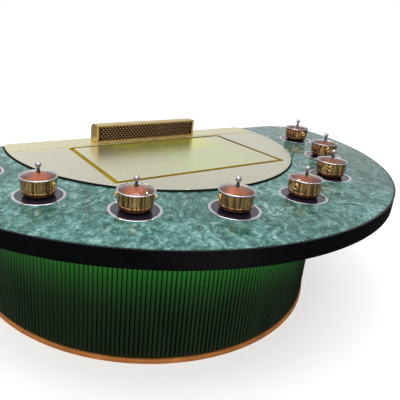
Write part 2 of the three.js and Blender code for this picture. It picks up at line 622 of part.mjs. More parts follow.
function makeControls() {
  const plateY = CONTROLS.plateY;
  let plate = box(
    -CONTROLS.halfWidth, CONTROLS.halfWidth, plateY, plateY + SHEET,
    CONTROLS.foot, CONTROLS.foot + CONTROLS.height);
  for (const x of [-KNOB.x, KNOB.x]) {
    plate = plate.subtract(rod(STEM.hole, 2 * CUT, [x, plateY, CONTROLS_Z], 'y', 12));
  }
  plate = plate.subtract(box(
    -BUTTON.hole, BUTTON.hole, plateY - CUT, plateY + CUT,
    CONTROLS_Z - BUTTON.hole, CONTROLS_Z + BUTTON.hole));
  addPiece('control_plate', plate, ZINC_SHEET);

  // Each knob has a stem through the plate and a raised ridge that points at its setting.
  const front = plateY + KNOB.standOff;
  for (const [name, x] of [['griddle_knob_left', KNOB.x], ['griddle_knob_right', -KNOB.x]]) {
    const knob = rod(KNOB.radius, KNOB.depth, [x, front + KNOB.depth / 2, CONTROLS_Z], 'y', 20)
      .add(rod(STEM.radius, STEM.length, [x, plateY + SHEET, CONTROLS_Z], 'y', 12))
      .add(box(
        x - RIDGE.halfWidth, x + RIDGE.halfWidth,
        front + KNOB.depth - RIDGE.root, front + KNOB.depth + RIDGE.height,
        CONTROLS_Z, CONTROLS_Z + KNOB.radius - 1));
    addPiece(name, knob, BLACK_PLASTIC);
  }
  const button = box(
    -BUTTON.half, BUTTON.half, plateY - BUTTON.back, plateY + BUTTON.depth,
    CONTROLS_Z - BUTTON.half, CONTROLS_Z + BUTTON.half);
  addPiece('hood_button', button, BLACK_PLASTIC);
}

// ---------------------------------------------------------------- cookers and pots

const ROUND = 16;                // facets round a pot and its lid
const SEAT_FACETS = 20;          // facets round a cooker and its trim
const HANDLE = { outer: 12, inner: 7.5, thickness: 5, standOff: 5, drop: 26, facets: 7 };
const BOSS = { halfWidth: 5, low: 6, high: 16 };

function cookerTrim() {
  const inner = TRIM_RADIUS - TRIM_WIDTH;
  const low = TOP_HEIGHT + GAP;
  const high = TOP_HEIGHT + TRIM_RISE;
  return revolve([
    [inner, low],
    [TRIM_RADIUS, low],
    [TRIM_RADIUS - 1, high],
    [inner, high],
    [inner, low],
  ], SEAT_FACETS);
}

// A glass disc on a shallow round housing that hangs through the counter.
function cooker() {
  const glass = TRIM_RADIUS - TRIM_WIDTH - GAP;
  const housing = glass - GLASS_OVERHANG;
  return revolve([
    [0, SOFFIT + HOUSING_RECESS],
    [housing, SOFFIT + HOUSING_RECESS],
    [housing, COOKER_TOP - COOKER_GLASS],
    [glass, COOKER_TOP - COOKER_GLASS],
    [glass, COOKER_TOP],
    [0, COOKER_TOP],
  ], SEAT_FACETS);
}

// The outside runs up to a flared lip and the inside comes back down, 3 mm within it.
// Heights are above the pot's own foot.
function pot() {
  const bowl = revolve([
    [0, 0],
    [POT_RADIUS - 24, 0],
    [POT_RADIUS - 8, 8],
    [POT_RADIUS, 30],
    [POT_RADIUS - 1, POT_HEIGHT - 4],
    [POT_RADIUS + 1, POT_HEIGHT],
    [POT_RADIUS - 3.5, POT_HEIGHT],
    [POT_RADIUS - 3, 31],
    [POT_RADIUS - 10.5, 10.5],
    [POT_RADIUS - 25, 3],
    [0, 3],
  ], ROUND);
  let vessel = bowl;
  for (const side of [-1, 1]) {
    vessel = vessel.add(potHandle(side));
  }
  return vessel;
}

// An upright loop standing off the wall, with a boss behind its upper end.
function potHandle(side) {
  const x = side * (POT_RADIUS + HANDLE.standOff);
  const z = POT_HEIGHT - HANDLE.drop;
  const ring = (radius) => toPath(arc(0, 0, radius, 22.5, 337.5, HANDLE.facets));
  const loopShape = new THREE.Shape(ring(HANDLE.outer));
  loopShape.holes.push(new THREE.Path(ring(HANDLE.inner)));
  const loop = new THREE.ExtrudeGeometry(loopShape, { depth: HANDLE.thickness, bevelEnabled: false });
  loop.translate(0, 0, -HANDLE.thickness / 2);
  loop.rotateX(Math.PI / 2);
  loop.rotateZ(side * Math.PI / 2);
  loop.translate(x, 0, z);
  const near = side * (POT_RADIUS - 2);
  const far = side * (POT_RADIUS + 8);
  const boss = box(
    Math.min(near, far), Math.max(near, far), -BOSS.halfWidth, BOSS.halfWidth, z + BOSS.low, z + BOSS.high);
  return toSolid(loop).add(boss);
}

// A shallow glass dome with a rim that drops inside the pot and a mushroom knob on top.
function lid() {
  const rim = POT_HEIGHT + GAP;
  return revolve([
    [0, rim + 17],
    [40, rim + 11],
    [POT_RADIUS - 8, rim + 1],
    [POT_RADIUS - 6.5, rim - 4],
    [POT_RADIUS - 4.5, rim - 4],
    [POT_RADIUS - 4.5, rim],
    [LID_RADIUS, rim],
    [LID_RADIUS, rim + 4],
    [LID_RADIUS - 4, rim + 6],
    [42, rim + 14],
    [9, rim + 20],
    [6, rim + 36],
    [11, rim + 41],
    [13, rim + 49],
    [10, rim + 58],
    [0, rim + 62],
  ], ROUND);
}

function makeSeats() {
  for (let i = 0; i < SEATS; i += 1) {
    const { turn, x, y } = seatPlace(i);
    const place = new THREE.Group();
    place.position.set(x, y, 0);
    place.rotation.z = turn;
    table.add(place);
    addPiece(`cooker_trim_${i + 1}`, cookerTrim(), POLISHED_STEEL, place);
    addPiece(`cooker_${i + 1}`, cooker(), BLACK_GLASS, place);
    addPiece(`pot_${i + 1}`, pot(), POLISHED_GOLD, place).position.z = POT_FOOT;
    addPiece(`pot_lid_${i + 1}`, lid(), LID_GLASS, place).position.z = POT_FOOT;
  }
}

makeCounter();
makeDeck();
makeHood();
makeBlower();
makeLift();
makeBase();
makeDoor('door_left', 1);
makeDoor('door_right', -1);
makeDrawer();
makeControls();
makeSeats();

export default table;
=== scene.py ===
"""The looks of a half-round chef's table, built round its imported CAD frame.

Metres, +Z up. -Y is the guests' curved side and +Y is the chef's straight side.
"""

import math

import bmesh
import bpy
from mathutils import Matrix, Vector
from mathutils.geometry import delaunay_2d_cdt


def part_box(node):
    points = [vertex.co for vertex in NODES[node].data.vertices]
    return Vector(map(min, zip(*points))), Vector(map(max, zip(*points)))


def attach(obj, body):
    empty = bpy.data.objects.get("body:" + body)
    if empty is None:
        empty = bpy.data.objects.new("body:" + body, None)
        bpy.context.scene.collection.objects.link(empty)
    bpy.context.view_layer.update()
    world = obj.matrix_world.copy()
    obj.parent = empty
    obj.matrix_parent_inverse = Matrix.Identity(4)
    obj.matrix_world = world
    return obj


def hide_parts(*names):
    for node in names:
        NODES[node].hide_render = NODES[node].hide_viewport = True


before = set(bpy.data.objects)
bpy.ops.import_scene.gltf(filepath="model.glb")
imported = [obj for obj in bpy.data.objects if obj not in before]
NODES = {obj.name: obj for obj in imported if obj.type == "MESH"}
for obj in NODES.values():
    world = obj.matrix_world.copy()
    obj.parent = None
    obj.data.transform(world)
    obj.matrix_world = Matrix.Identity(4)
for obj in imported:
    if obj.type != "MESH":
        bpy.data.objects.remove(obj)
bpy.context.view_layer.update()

SEATS = range(1, 9)


# ---------------------------------------------------------------- outlines and profiles

def arc(x, y, radius, start, end, steps):
    """Points on a circle, from one angle to another, in degrees."""
    points = []
    for i in range(steps + 1):
        angle = math.radians(start + (end - start) * i / steps)
        points.append((x + radius * math.cos(angle), y + radius * math.sin(angle)))
    return points


def circle(x, y, radius, steps=64):
    """A round outline that grows as it is inset, so it suits a hole."""
    return lambda inset: arc(x, y, radius + inset, 0, 360, steps)[:-1]


def rectangle(x0, x1, y0, y1, corner, steps=5):
    """A rounded rectangle as a function of its inset."""

    def outline(inset):
        r = max(corner - inset, 1e-4)
        c = inset + r
        return [
            *arc(x0 + c, y0 + c, r, 180, 270, steps),
            *arc(x1 - c, y0 + c, r, 270, 360, steps),
            *arc(x1 - c, y1 - c, r, 0, 90, steps),
            *arc(x0 + c, y1 - c, r, 90, 180, steps),
        ]

    return outline


def grown(outline):
    """The same outline, growing with the inset, for a hole."""
    return lambda inset: outline(-inset)


def half_round(radius, back, corner, steps=200, corner_steps=14):
    """A long arc, a straight back edge and two rounded corners."""

    def outline(inset):
        r, b, c = radius - inset, back - inset, corner - inset
        y = b - c
        x = math.sqrt((r - c) ** 2 - (y - ARC_Y) ** 2)
        lean = math.degrees(math.atan2(y - ARC_Y, x))
        return [
            *arc(0, ARC_Y, r, 180 - lean, 360 + lean, steps),
            *arc(x, y, c, lean, 90, corner_steps)[1:],
            *arc(-x, y, c, 90, 180 - lean, corner_steps)[:-1],
        ]

    return outline


def fitted(outline, half):
    """The same outline, drawn in sideways to an exact half length."""

    def drawn(inset):
        points = outline(inset)
        share = (half - inset) / max(x for x, y in points)
        return [(x * share, y) for x, y in points]

    return drawn


def soften(points, steps=4, closed=False):
    """A line of (u, v, reach) points with each corner rounded over its reach."""
    count = len(points)
    line = []
    for i, (u, v, reach) in enumerate(points):
        here = Vector((u, v))
        if reach <= 0 or (not closed and i in (0, count - 1)):
            line.append((u, v))
            continue
        before = Vector(points[i - 1][:2]) - here
        after = Vector(points[(i + 1) % count][:2]) - here
        a = here + before.normalized() * min(reach, before.length / 2)
        b = here + after.normalized() * min(reach, after.length / 2)
        for k in range(steps + 1):
            t = k / steps
            line.append(tuple(a * (1 - t) ** 2 + here * (2 * t * (1 - t)) + b * t * t))
    return line


def edge(low, high, foot, head):
    """A slab's side as (inset, height) points, rounded at its foot and head."""
    return soften([(foot, low, 0), (0, low, foot), (0, high, head), (head, high, 0)])


# ---------------------------------------------------------------- pieces

def fill(loops):
    """Triangles inside the first flat loop and outside the others, as running indices."""
    points, edges, owner = [], [], []
    for number, loop in enumerate(loops):
        start = len(points)
        points += [Vector(p) for p in loop]
        owner += [number] * len(loop)
        edges += [(start + i, start + (i + 1) % len(loop)) for i in range(len(loop))]
    found = delaunay_2d_cdt(points, edges, [], 0, 1e-8)
    origin = [o[0] for o in found[3]]
    outer = loops[0]
    kept = []
    for face in found[2]:
        corners = [origin[i] for i in face]
        owners = {owner[i] for i in corners}
        if len(owners) == 1:
            if owners != {0}:
                continue
            x = sum(points[i].x for i in corners) / 3
            y = sum(points[i].y for i in corners) / 3
            inside = False
            for (xa, ya), (xb, yb) in zip(outer, outer[1:] + outer[:1]):
                if (ya > y) != (yb > y) and x < (xb - xa) * (y - ya) / (yb - ya) + xa:
                    inside = not inside
            if not inside:
                continue
        kept.append(corners)
    return kept


class Piece:
    """One visible piece: its vertices and faces while it is made, then its object."""

    def __init__(self, name, place=None):
        self.name = name
        self.place = place or Matrix()
        self.look = 0
        self.verts, self.faces, self.looks, self.flat = [], [], [], []

    def loop(self, points):
        start = len(self.verts)
        self.verts += [tuple(self.place @ Vector(p)) for p in points]
        return list(range(start, len(self.verts)))

    def face(self, corners, flat=False):
        self.faces.append(list(corners))
        self.looks.append(self.look)
        self.flat.append(flat)

    def bridge(self, a, b, closed=True):
        count = max(len(a), len(b))
        for i in range(count if closed else count - 1):
            j = (i + 1) % count
            if len(a) == 1:
                self.face([a[0], b[j], b[i]])
            elif len(b) == 1:
                self.face([a[i], a[j], b[0]])
            else:
                self.face([a[i], a[j], b[j], b[i]])

    def cap(self, *loops):
        """A flat face on the first loop, with the other loops as holes."""
        order = [i for loop in loops for i in loop]
        back = self.place.inverted()
        flat = [[tuple((back @ Vector(self.verts[i])).xy) for i in loop] for loop in loops]
        for corners in fill(flat):
            self.face([order[i] for i in corners], flat=True)

    def slab(self, outline, profile, holes=(), hole_profile=None):
        """A flat piece from its underside to its top, with rounded edges and holes."""
        sets = []
        for shape, line in [(outline, profile)] + [(h, hole_profile or profile) for h in holes]:
            rings = [self.loop([(x, y, z) for x, y in shape(d)]) for d, z in line]
            for a, b in zip(rings, rings[1:]):
                self.bridge(a, b)
            sets.append(rings)
        self.cap(*[rings[0] for rings in sets])
        self.cap(*[rings[-1] for rings in sets])

    def sweep(self, path, section, closed):
        """A closed section of (inset, height) points carried along a path."""
        rings = [self.loop([(x, y, z) for x, y in path(d)]) for d, z in section]
        for a, b in zip(rings, rings[1:] + rings[:1]):
            self.bridge(a, b, closed)
        if not closed:
            self.face([ring[0] for ring in rings], flat=True)
            self.face([ring[-1] for ring in rings], flat=True)

    def spin(self, profile, steps=64, closed=False):
        """A profile of (radius, height) points turned about the local Z axis."""
        rings = []
        for radius, z in profile:
            if radius < 1e-7:
                rings.append(self.loop([(0, 0, z)]))
            else:
                rings.append(self.loop([(x, y, z) for x, y in arc(0, 0, radius, 0, 360, steps)[:-1]]))
        for a, b in zip(rings, rings[1:] + (rings[:1] if closed else [])):
            self.bridge(a, b)

    def tube(self, points, radius, steps=10, closed=False):
        """A round bar along a line of points in the local frame."""
        rings = []
        count = len(points)
        side = None
        for i, point in enumerate(points):
            before = Vector(points[i - 1] if closed or i else points[0])
            after = Vector(points[(i + 1) % count] if closed or i < count - 1 else point)
            ahead = (after - before).normalized()
            if side is None:
                side = ahead.orthogonal()
            side = (side - ahead * side.dot(ahead)).normalized()
            up = ahead.cross(side)
            rings.append(self.loop([
                Vector(point) + side * x + up * y for x, y in arc(0, 0, radius, 0, 360, steps)[:-1]
            ]))
        for a, b in zip(rings, rings[1:] + (rings[:1] if closed else [])):
            self.bridge(a, b)
        if not closed:
            self.face(rings[0], flat=True)
            self.face(rings[-1], flat=True)

    def mesh(self, materials, angle=32):
        mesh = bpy.data.meshes.new(self.name)
        mesh.from_pydata(self.verts, [], self.faces)
        bm = bmesh.new()
        bm.from_mesh(mesh)
        bmesh.ops.recalc_face_normals(bm, faces=bm.faces)
        bm.to_mesh(mesh)
        bm.free()
        mesh.shade_smooth()
        mesh.set_sharp_from_angle(angle=math.radians(angle))
        for polygon, look, flat in zip(mesh.polygons, self.looks, self.flat):
            polygon.material_index = look
            if flat:
                polygon.use_smooth = False
        for material in materials:
            mesh.materials.append(material)
        return mesh

    def build(self, materials, body, slot, *nodes):
        return add(self.name, self.mesh(materials), body, slot, *nodes)


def add(name, mesh, body, slot, *nodes, at=None):
    """An object on a mesh, riding on a CAD body and standing for CAD nodes."""
    made = bpy.data.objects.new(name, mesh)
    bpy.context.scene.collection.objects.link(made)
    if at is not None:
        made.matrix_world = at
    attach(made, body)
    if nodes:
        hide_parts(*nodes)
    return made


def carve(mesh, *cutters):
    """A mesh with the cutters' meshes taken out of it, sharp where it turns a corner."""
    scene = bpy.context.scene
    body = bpy.data.objects.new("carved", mesh)
    scene.collection.objects.link(body)
    tools = []
    for cutter in cutters:
        tool = bpy.data.objects.new("cutter", cutter)
        scene.collection.objects.link(tool)
        tools.append(tool)
        change = body.modifiers.new("cut", "BOOLEAN")
        change.operation = "DIFFERENCE"
        change.solver = "EXACT"
        change.object = tool
    graph = bpy.context.evaluated_depsgraph_get()
    result = bpy.data.meshes.new_from_object(body.evaluated_get(graph))
    for thing in [body, *tools]:
        bpy.data.objects.remove(thing)
    result.shade_smooth()
    result.set_sharp_from_angle(angle=math.radians(25))
    return result


def even_shading(made):
    """Keeps wide flat faces flat beside their rounded edges."""
    change = made.modifiers.new("even shading", "WEIGHTED_NORMAL")
    change.keep_sharp = True
    change.weight = 80


# ---------------------------------------------------------------- materials

class Nodes:
    """Short ways to add nodes to a tree."""

    def __init__(self, tree):
        self.tree = tree

    def node(self, kind, inputs=(), **settings):
        made = self.tree.nodes.new(kind)
        for key, value in settings.items():
            setattr(made, key, value)
        for key, value in dict(inputs).items():
            if isinstance(value, bpy.types.NodeSocket):
                self.tree.links.new(value, made.inputs[key])
            else:
                made.inputs[key].default_value = value
        return made

    def math(self, operation, a, b=0.0, clamp=False):
        return self.node("ShaderNodeMath", {0: a, 1: b}, operation=operation, use_clamp=clamp).outputs[0]

    def spread(self, value, low, high, to_low=0.0, to_high=1.0):
        return self.node("ShaderNodeMapRange", {
            "Value": value, "From Min": low, "From Max": high, "To Min": to_low, "To Max": to_high,
        }).outputs[0]

    def ramp(self, value, *stops):
        made = self.node("ShaderNodeValToRGB", {"Fac": value})
        elements = made.color_ramp.elements
        while len(elements) < len(stops):
            elements.new(0.5)
        for element, (position, colour) in zip(elements, stops):
            element.position = position
            element.color = (*colour, 1)
        return made.outputs["Color"]

    def mix(self, share, a, b, blend="MIX"):
        a = a if isinstance(a, bpy.types.NodeSocket) else (*a, 1)
        b = b if isinstance(b, bpy.types.NodeSocket) else (*b, 1)
        return self.node(
            "ShaderNodeMix", {"Factor": share, 6: a, 7: b}, data_type="RGBA", blend_type=blend).outputs[2]


class Finish(Nodes):
    """A Principled material with its surface detail."""

    def __init__(self, name, **sockets):
        self.material = bpy.data.materials.new(name)
        self.material.use_nodes = True
        super().__init__(self.material.node_tree)
        self.shader = self.tree.nodes["Principled BSDF"]
        for key, value in sockets.items():
            self.shader.inputs[key.replace("_", " ")].default_value = value

    def place(self, stretch=(1, 1, 1), warp=None, turn=0.0):
        """Object coordinates in metres, pushed about by a warp, turned and stretched."""
        coords = self.node("ShaderNodeTexCoord").outputs["Object"]
        if warp:
            coords = self.node("ShaderNodeVectorMath", {0: coords, 1: warp}, operation="ADD").outputs[0]
        if turn:
            coords = self.node(
                "ShaderNodeVectorRotate", {"Vector": coords, "Angle": math.radians(turn)}).outputs[0]
        return self.node("ShaderNodeVectorMath", {0: coords, 1: stretch}, operation="MULTIPLY").outputs[0]

    def noise(self, scale, detail=4.0, rough=0.5, stretch=(1, 1, 1), warp=None, turn=0.0, output="Fac"):
        return self.node("ShaderNodeTexNoise", {
            "Vector": self.place(stretch, warp, turn), "Scale": scale, "Detail": detail, "Roughness": rough,
        }).outputs[output]

    def drive(self, socket, value):
        self.tree.links.new(value, self.shader.inputs[socket])
        return self

    def bump(self, height, distance, strength=1.0):
        made = self.node("ShaderNodeBump", {"Height": height, "Distance": distance, "Strength": strength})
        return self.drive("Normal", made.outputs["Normal"])


def sheet_metal(name, colour, rough, grain=(3, 220, 220), scratch=0.00002, vary=0.08, tint=None):
    """Brushed or polished metal: fine grain, uneven polish and a little colour drift."""
    finish = Finish(name, Metallic=1.0)
    cloud = finish.noise(3, 3)
    lines = finish.noise(1, 3, 0.6, grain)
    low = tuple(c * (1 - vary) for c in colour)
    high = tint or tuple(min(1, c * (1 + vary)) for c in colour)
    drift = finish.mix(finish.spread(cloud, 0.35, 0.65), low, high)
    finish.drive("Base Color", finish.mix(0.10, drift, finish.mix(lines, low, high)))
    smear = finish.math(
        "ADD", finish.spread(cloud, 0.3, 0.7, -0.04, 0.04), finish.spread(lines, 0.3, 0.7, -0.02, 0.02))
    finish.drive("Roughness", finish.math("ADD", smear, rough, clamp=True))
    return finish.bump(lines, scratch).material


def moulded(name, colour, rough, scale=900, depth=0.00003, shine=0.5):
    """Plastic, rubber or lacquer with a faint even texture."""
    finish = Finish(name, Specular_IOR_Level=shine)
    grain = finish.noise(scale, 2)
    cloud = finish.noise(7, 4)
    low = tuple(c * 0.75 for c in colour)
    high = tuple(c * 1.25 for c in colour)
    finish.drive("Base Color", finish.mix(finish.spread(cloud, 0.3, 0.7), low, high))
    finish.drive("Roughness", finish.spread(cloud, 0.3, 0.7, rough - 0.06, rough + 0.06))
    return finish.bump(grain, depth).material


def marble():
    """Polished green marble: fine streaks, pale and dark veins and crystal flecks."""
    finish = Finish("green_marble", IOR=1.31)
    push = finish.noise(4.5, 4, 0.6, output="Color")
    warp = finish.node(
        "ShaderNodeVectorMath", {0: push, 1: (0.26, 0.26, 0.26)}, operation="MULTIPLY").outputs[0]
    streaks = finish.noise(1, 9, 0.72, (34, 15, 15), warp, 35)
    grain = finish.noise(75, 5, 0.7)
    blend = finish.math("ADD", finish.math("MULTIPLY", streaks, 0.72), finish.math("MULTIPLY", grain, 0.28))
    base = finish.ramp(
        blend,
        (0.39, (0.004, 0.028, 0.021)),
        (0.465, (0.030, 0.118, 0.099)),
        (0.53, (0.092, 0.238, 0.219)),
        (0.62, (0.330, 0.510, 0.490)),
    )
    shade = finish.spread(finish.noise(2.3, 3, 0.5), 0.38, 0.62)
    base = finish.mix(finish.math("MULTIPLY", shade, 0.45), base, (0.014, 0.062, 0.047))
    # Painted shade: the stone darkens towards +X, standing in for the dimmer light on the right side.
    along = finish.node("ShaderNodeSeparateXYZ", {0: finish.place()}).outputs[0]
    base = finish.mix(finish.spread(along, 0.3, 1.1, 0.0, 0.45), base, (0.004, 0.040, 0.030))
    veins = []
    for scale, width, mask_scale in ((3.2, 0.0055, 2.6), (6.5, 0.007, 4.0), (9.0, 0.017, 5.0)):
        ridge = finish.math("ABSOLUTE", finish.math("SUBTRACT", finish.noise(scale, 6, 0.62, warp=warp), 0.5))
        line = finish.spread(ridge, 0.0, width, 1.0, 0.0)
        veins.append(finish.math("MULTIPLY", line, finish.spread(finish.noise(mask_scale, 2), 0.50, 0.62)))
    base = finish.mix(finish.math("MULTIPLY", veins[0], 0.85, clamp=True), base, (0.50, 0.66, 0.63))
    base = finish.mix(finish.math("MULTIPLY", veins[1], 0.55, clamp=True), base, (0.34, 0.52, 0.47))
    base = finish.mix(finish.math("MULTIPLY", veins[2], 0.75, clamp=True), base, (0.008, 0.040, 0.028))
    flecks = finish.spread(finish.noise(140, 4, 0.7), 0.60, 0.74)
    base = finish.mix(finish.math("MULTIPLY", flecks, 0.5), base, (0.38, 0.58, 0.52))
    finish.drive("Base Color", base)
    finish.drive("Roughness", finish.spread(streaks, 0.3, 0.7, 0.05, 0.10))
    return finish.bump(finish.noise(40, 3), 0.00002).material


def fluted_lacquer(low, high, valley, crown):
    """Deep green acrylic flutes with the strip's light painted on as green emission that fades downwards, and
    painted shade in the valleys.
    """
    finish = Finish("green_flutes", IOR=1.49)
    cloud = finish.noise(9, 4, stretch=(1, 1, 0.25))
    green = finish.mix(finish.spread(cloud, 0.3, 0.7), (0.009, 0.022, 0.008), (0.015, 0.036, 0.013))
    finish.drive("Roughness", finish.spread(cloud, 0.3, 0.7, 0.22, 0.34))
    axes = finish.node("ShaderNodeSeparateXYZ", {0: finish.place()}).outputs
    # Painted light: the strip's light is painted on, strongest at the top and fading downwards.
    reach = finish.math("POWER", finish.spread(axes[2], low, high), 3.8)
    inward = finish.math("MINIMUM", finish.math("SUBTRACT", axes[1], ARC_Y), 0.0)
    radius = finish.math("SQRT", finish.math(
        "ADD", finish.math("MULTIPLY", axes[0], axes[0]), finish.math("MULTIPLY", inward, inward)))
    # Painted shade: each valley between ribs is darker, and the painted light keeps to the crowns.
    ribs = finish.math("POWER", finish.spread(radius, valley, crown), 1.6)
    finish.drive("Base Color", finish.mix(ribs, (0.0012, 0.0025, 0.0012), green))
    wander = finish.spread(finish.noise(1.6, 2, stretch=(1, 1, 0)), 0.3, 0.7, 0.75, 1.2)
    # The flutes are no lamp: this green emission is the strip's light painted onto them.
    finish.shader.inputs["Emission Color"].default_value = (0.060, 0.62, 0.060, 1)
    painted_led_glow = finish.math("MULTIPLY", finish.math("MULTIPLY", reach, wander), ribs)
    finish.drive("Emission Strength", painted_led_glow)
    return finish.bump(finish.noise(260, 2, stretch=(1, 1, 0.05)), 0.00002).material


def pot_gold():
    """Polished gold plate with painted dark reflections: dark upright streaks, and a dark band round the foot
    where it faces the black hob glass.
    """
    finish = Finish("polished_gold", Metallic=0.85)
    # Painted reflections: dark upright streaks stand in for dark surroundings mirrored in the walls.
    streaks = finish.noise(1, 4, 0.6, (85, 85, 5))
    painted_streak_reflections = finish.spread(streaks, 0.47, 0.53)
    height = finish.node("ShaderNodeSeparateXYZ", {0: finish.place()}).outputs[2]
    # Painted reflection and shade: darker towards the foot, where the wall faces the black hob glass.
    foot = finish.spread(height, 0.016, 0.030, 1.0, 0.0)
    painted_dark_reflections = finish.math("MAXIMUM", finish.math("MULTIPLY", painted_streak_reflections, 0.88), finish.math("MULTIPLY", foot, 0.92))
    gold = finish.mix(finish.noise(1, 3, 0.5, (60, 60, 60)), (0.78, 0.42, 0.17), (0.58, 0.28, 0.11))
    finish.drive("Base Color", finish.mix(painted_dark_reflections, gold, (0.10, 0.034, 0.018)))
    finish.drive("Roughness", finish.spread(streaks, 0.3, 0.7, 0.08, 0.16))
    return finish.bump(finish.noise(1, 3, 0.5, (20, 20, 400)), 0.000006).material


def griddle_steel():
    """Scraped griddle steel with soft green drifts and a golden patch before the hood: mostly a painted
    reflection of the gold hood, partly a guessed cooking stain.
    """
    finish = Finish("griddle_steel")
    drift = finish.noise(1, 2, 0.4, (7, 2.5, 1))
    grain = finish.noise(1, 3, 0.6, (6, 600, 600))
    axes = finish.node("ShaderNodeSeparateXYZ", {0: finish.place()}).outputs
    centre_share = finish.spread(finish.math("ABSOLUTE", finish.math("SUBTRACT", axes[0], 0.06)), 0.42, 0.10)
    green = finish.math("MULTIPLY", centre_share, finish.spread(drift, 0.35, 0.60, 0.45, 1.0))
    colour = finish.mix(green, (0.76, 0.74, 0.53), (0.73, 0.83, 0.44))
    # Painted reflection: a golden patch behind the middle of the plate. It is mostly the gold hood mirrored
    # in the steel and partly a guessed cooking stain.
    behind = finish.spread(axes[1], 0.31, 0.56)
    middle = finish.spread(finish.math("ABSOLUTE", axes[0]), 0.43, 0.25)
    wander = finish.spread(finish.noise(6, 3), 0.3, 0.7, 0.75, 1.15)
    tint = finish.math("MULTIPLY", finish.math("MULTIPLY", behind, middle), wander, clamp=True)
    finish.drive("Base Color", finish.mix(tint, colour, (0.84, 0.84, 0.13)))
    finish.drive("Metallic", finish.spread(tint, 0, 1, 1.0, 0.88))
    finish.drive("Roughness", finish.spread(grain, 0.3, 0.7, 0.25, 0.31))
    return finish.bump(grain, 0.000002).material


def lid_glass():
    finish = Finish(
        "lid_glass", IOR=1.34, Transmission_Weight=1.0, Base_Color=(0.93, 0.96, 0.96, 1))
    finish.drive("Roughness", finish.spread(finish.noise(30, 3), 0.3, 0.7, 0.0, 0.03))
    return finish.bump(finish.noise(60, 2), 0.00001).material


def plywood(name, colour):
    finish = Finish(name, Specular_IOR_Level=0.3)
    rings = finish.noise(6, 5, 0.6, (1, 9, 40))
    finish.drive("Base Color", finish.mix(rings, tuple(c * 0.6 for c in colour), colour))
    finish.drive("Roughness", finish.spread(rings, 0.3, 0.7, 0.6, 0.8))
    return finish.bump(rings, 0.0002).material


def glowing_strip():
    finish = Finish("led_strip", Roughness=0.4, Base_Color=(0.7, 0.9, 0.72, 1))
    finish.shader.inputs["Emission Color"].default_value = (0.55, 1.0, 0.6, 1)
    dots = finish.noise(60, 1, stretch=(1, 1, 0))
    finish.drive("Emission Strength", finish.spread(dots, 0.3, 0.7, 2.4, 3.6))
    return finish.material


def brass_sheet():
    """Pale brushed brass, a little yellower along the strip the hood stands in."""
    finish = Finish("brass_sheet", Metallic=1.0)
    cloud = finish.noise(3, 3)
    lines = finish.noise(1, 3, 0.6, (6, 600, 600))
    axes = finish.node("ShaderNodeSeparateXYZ", {0: finish.place()}).outputs
    plain = finish.mix(finish.spread(cloud, 0.35, 0.65), (0.70, 0.685, 0.545), (0.73, 0.72, 0.565))
    strip = finish.spread(axes[1], 0.58, 0.63)
    finish.drive("Base Color", finish.mix(strip, plain, (0.80, 0.75, 0.47)))
    smear = finish.math(
        "ADD", finish.spread(cloud, 0.3, 0.7, 0.21, 0.29), finish.spread(lines, 0.3, 0.7, -0.02, 0.02))
    finish.drive("Roughness", smear)
    return finish.bump(lines, 0.000002).material


MARBLE = marble()
LACQUER = moulded("black_lacquer", (0.004, 0.004, 0.005), 0.24, shine=0.15)
BRASS = brass_sheet()
GRIDDLE = griddle_steel()
GOLD = sheet_metal("gold_trim", (0.60, 0.43, 0.16), 0.28, (6, 500, 500), 0.000003)
GUTTER = sheet_metal("gutter_brass", (0.76, 0.63, 0.13), 0.30, grain=(60, 60, 60))
# Painted shadow: the hood's inner faces are near black, standing in for the shade inside the hollow hood.
SHADOW = moulded("hood_inside_painted_shadow", (0.030, 0.018, 0.010), 0.6)
ZINC = sheet_metal("zinc_sheet", (0.50, 0.52, 0.54), 0.42, grain=(40, 40, 6))
BRONZE = moulded("bronze_strip", (0.60, 0.21, 0.050), 0.42, scale=300)
GRILLE = sheet_metal("grille_bronze", (0.085, 0.034, 0.018), 0.35, grain=(60, 60, 60))
STUD = sheet_metal("stud_gold", (0.80, 0.62, 0.42), 0.55, grain=(60, 60, 60))
KNOB_STEEL = sheet_metal("knob_steel", (0.44, 0.43, 0.47), 0.10, grain=(80, 80, 80), scratch=0.000004)
CHROME = sheet_metal("polished_steel", (0.70, 0.70, 0.77), 0.09, grain=(80, 80, 80), scratch=0.000004)
POT_GOLD = pot_gold()
HANDLE_GOLD = sheet_metal("handle_gold", (0.80, 0.56, 0.24), 0.14, grain=(60, 60, 60), scratch=0.000006)
COPPER = sheet_metal("copper_lining", (0.80, 0.45, 0.29), 0.34, grain=(200, 200, 20), scratch=0.000008)
RUBBER = moulded("black_rubber", (0.004, 0.004, 0.004), 0.6, shine=0.1)
PLASTIC = moulded("black_plastic", (0.020, 0.020, 0.022), 0.42)
LAMINATE = moulded("cabinet_laminate", (0.018, 0.042, 0.028), 0.38, scale=500)
HOB_GLASS = moulded("black_glass", (0.014, 0.011, 0.024), 0.06, depth=0.000002, shine=0.8)
GLASS = lid_glass()
BOARD = plywood("plywood", (0.52, 0.38, 0.22))
STRIP = glowing_strip()


# ---------------------------------------------------------------- measures from the CAD frame

band_low, band_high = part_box("edge_band")
plinth_low, plinth_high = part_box("plinth_frame")
stone_low, stone_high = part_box("stone_top")
deck_low, deck_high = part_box("deck_plate")
griddle_low, griddle_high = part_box("griddle_plate")
hood_low, hood_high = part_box("hood_shell")
flutes_low, flutes_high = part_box("fluted_panel")
seal_low, seal_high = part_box("deck_seal")

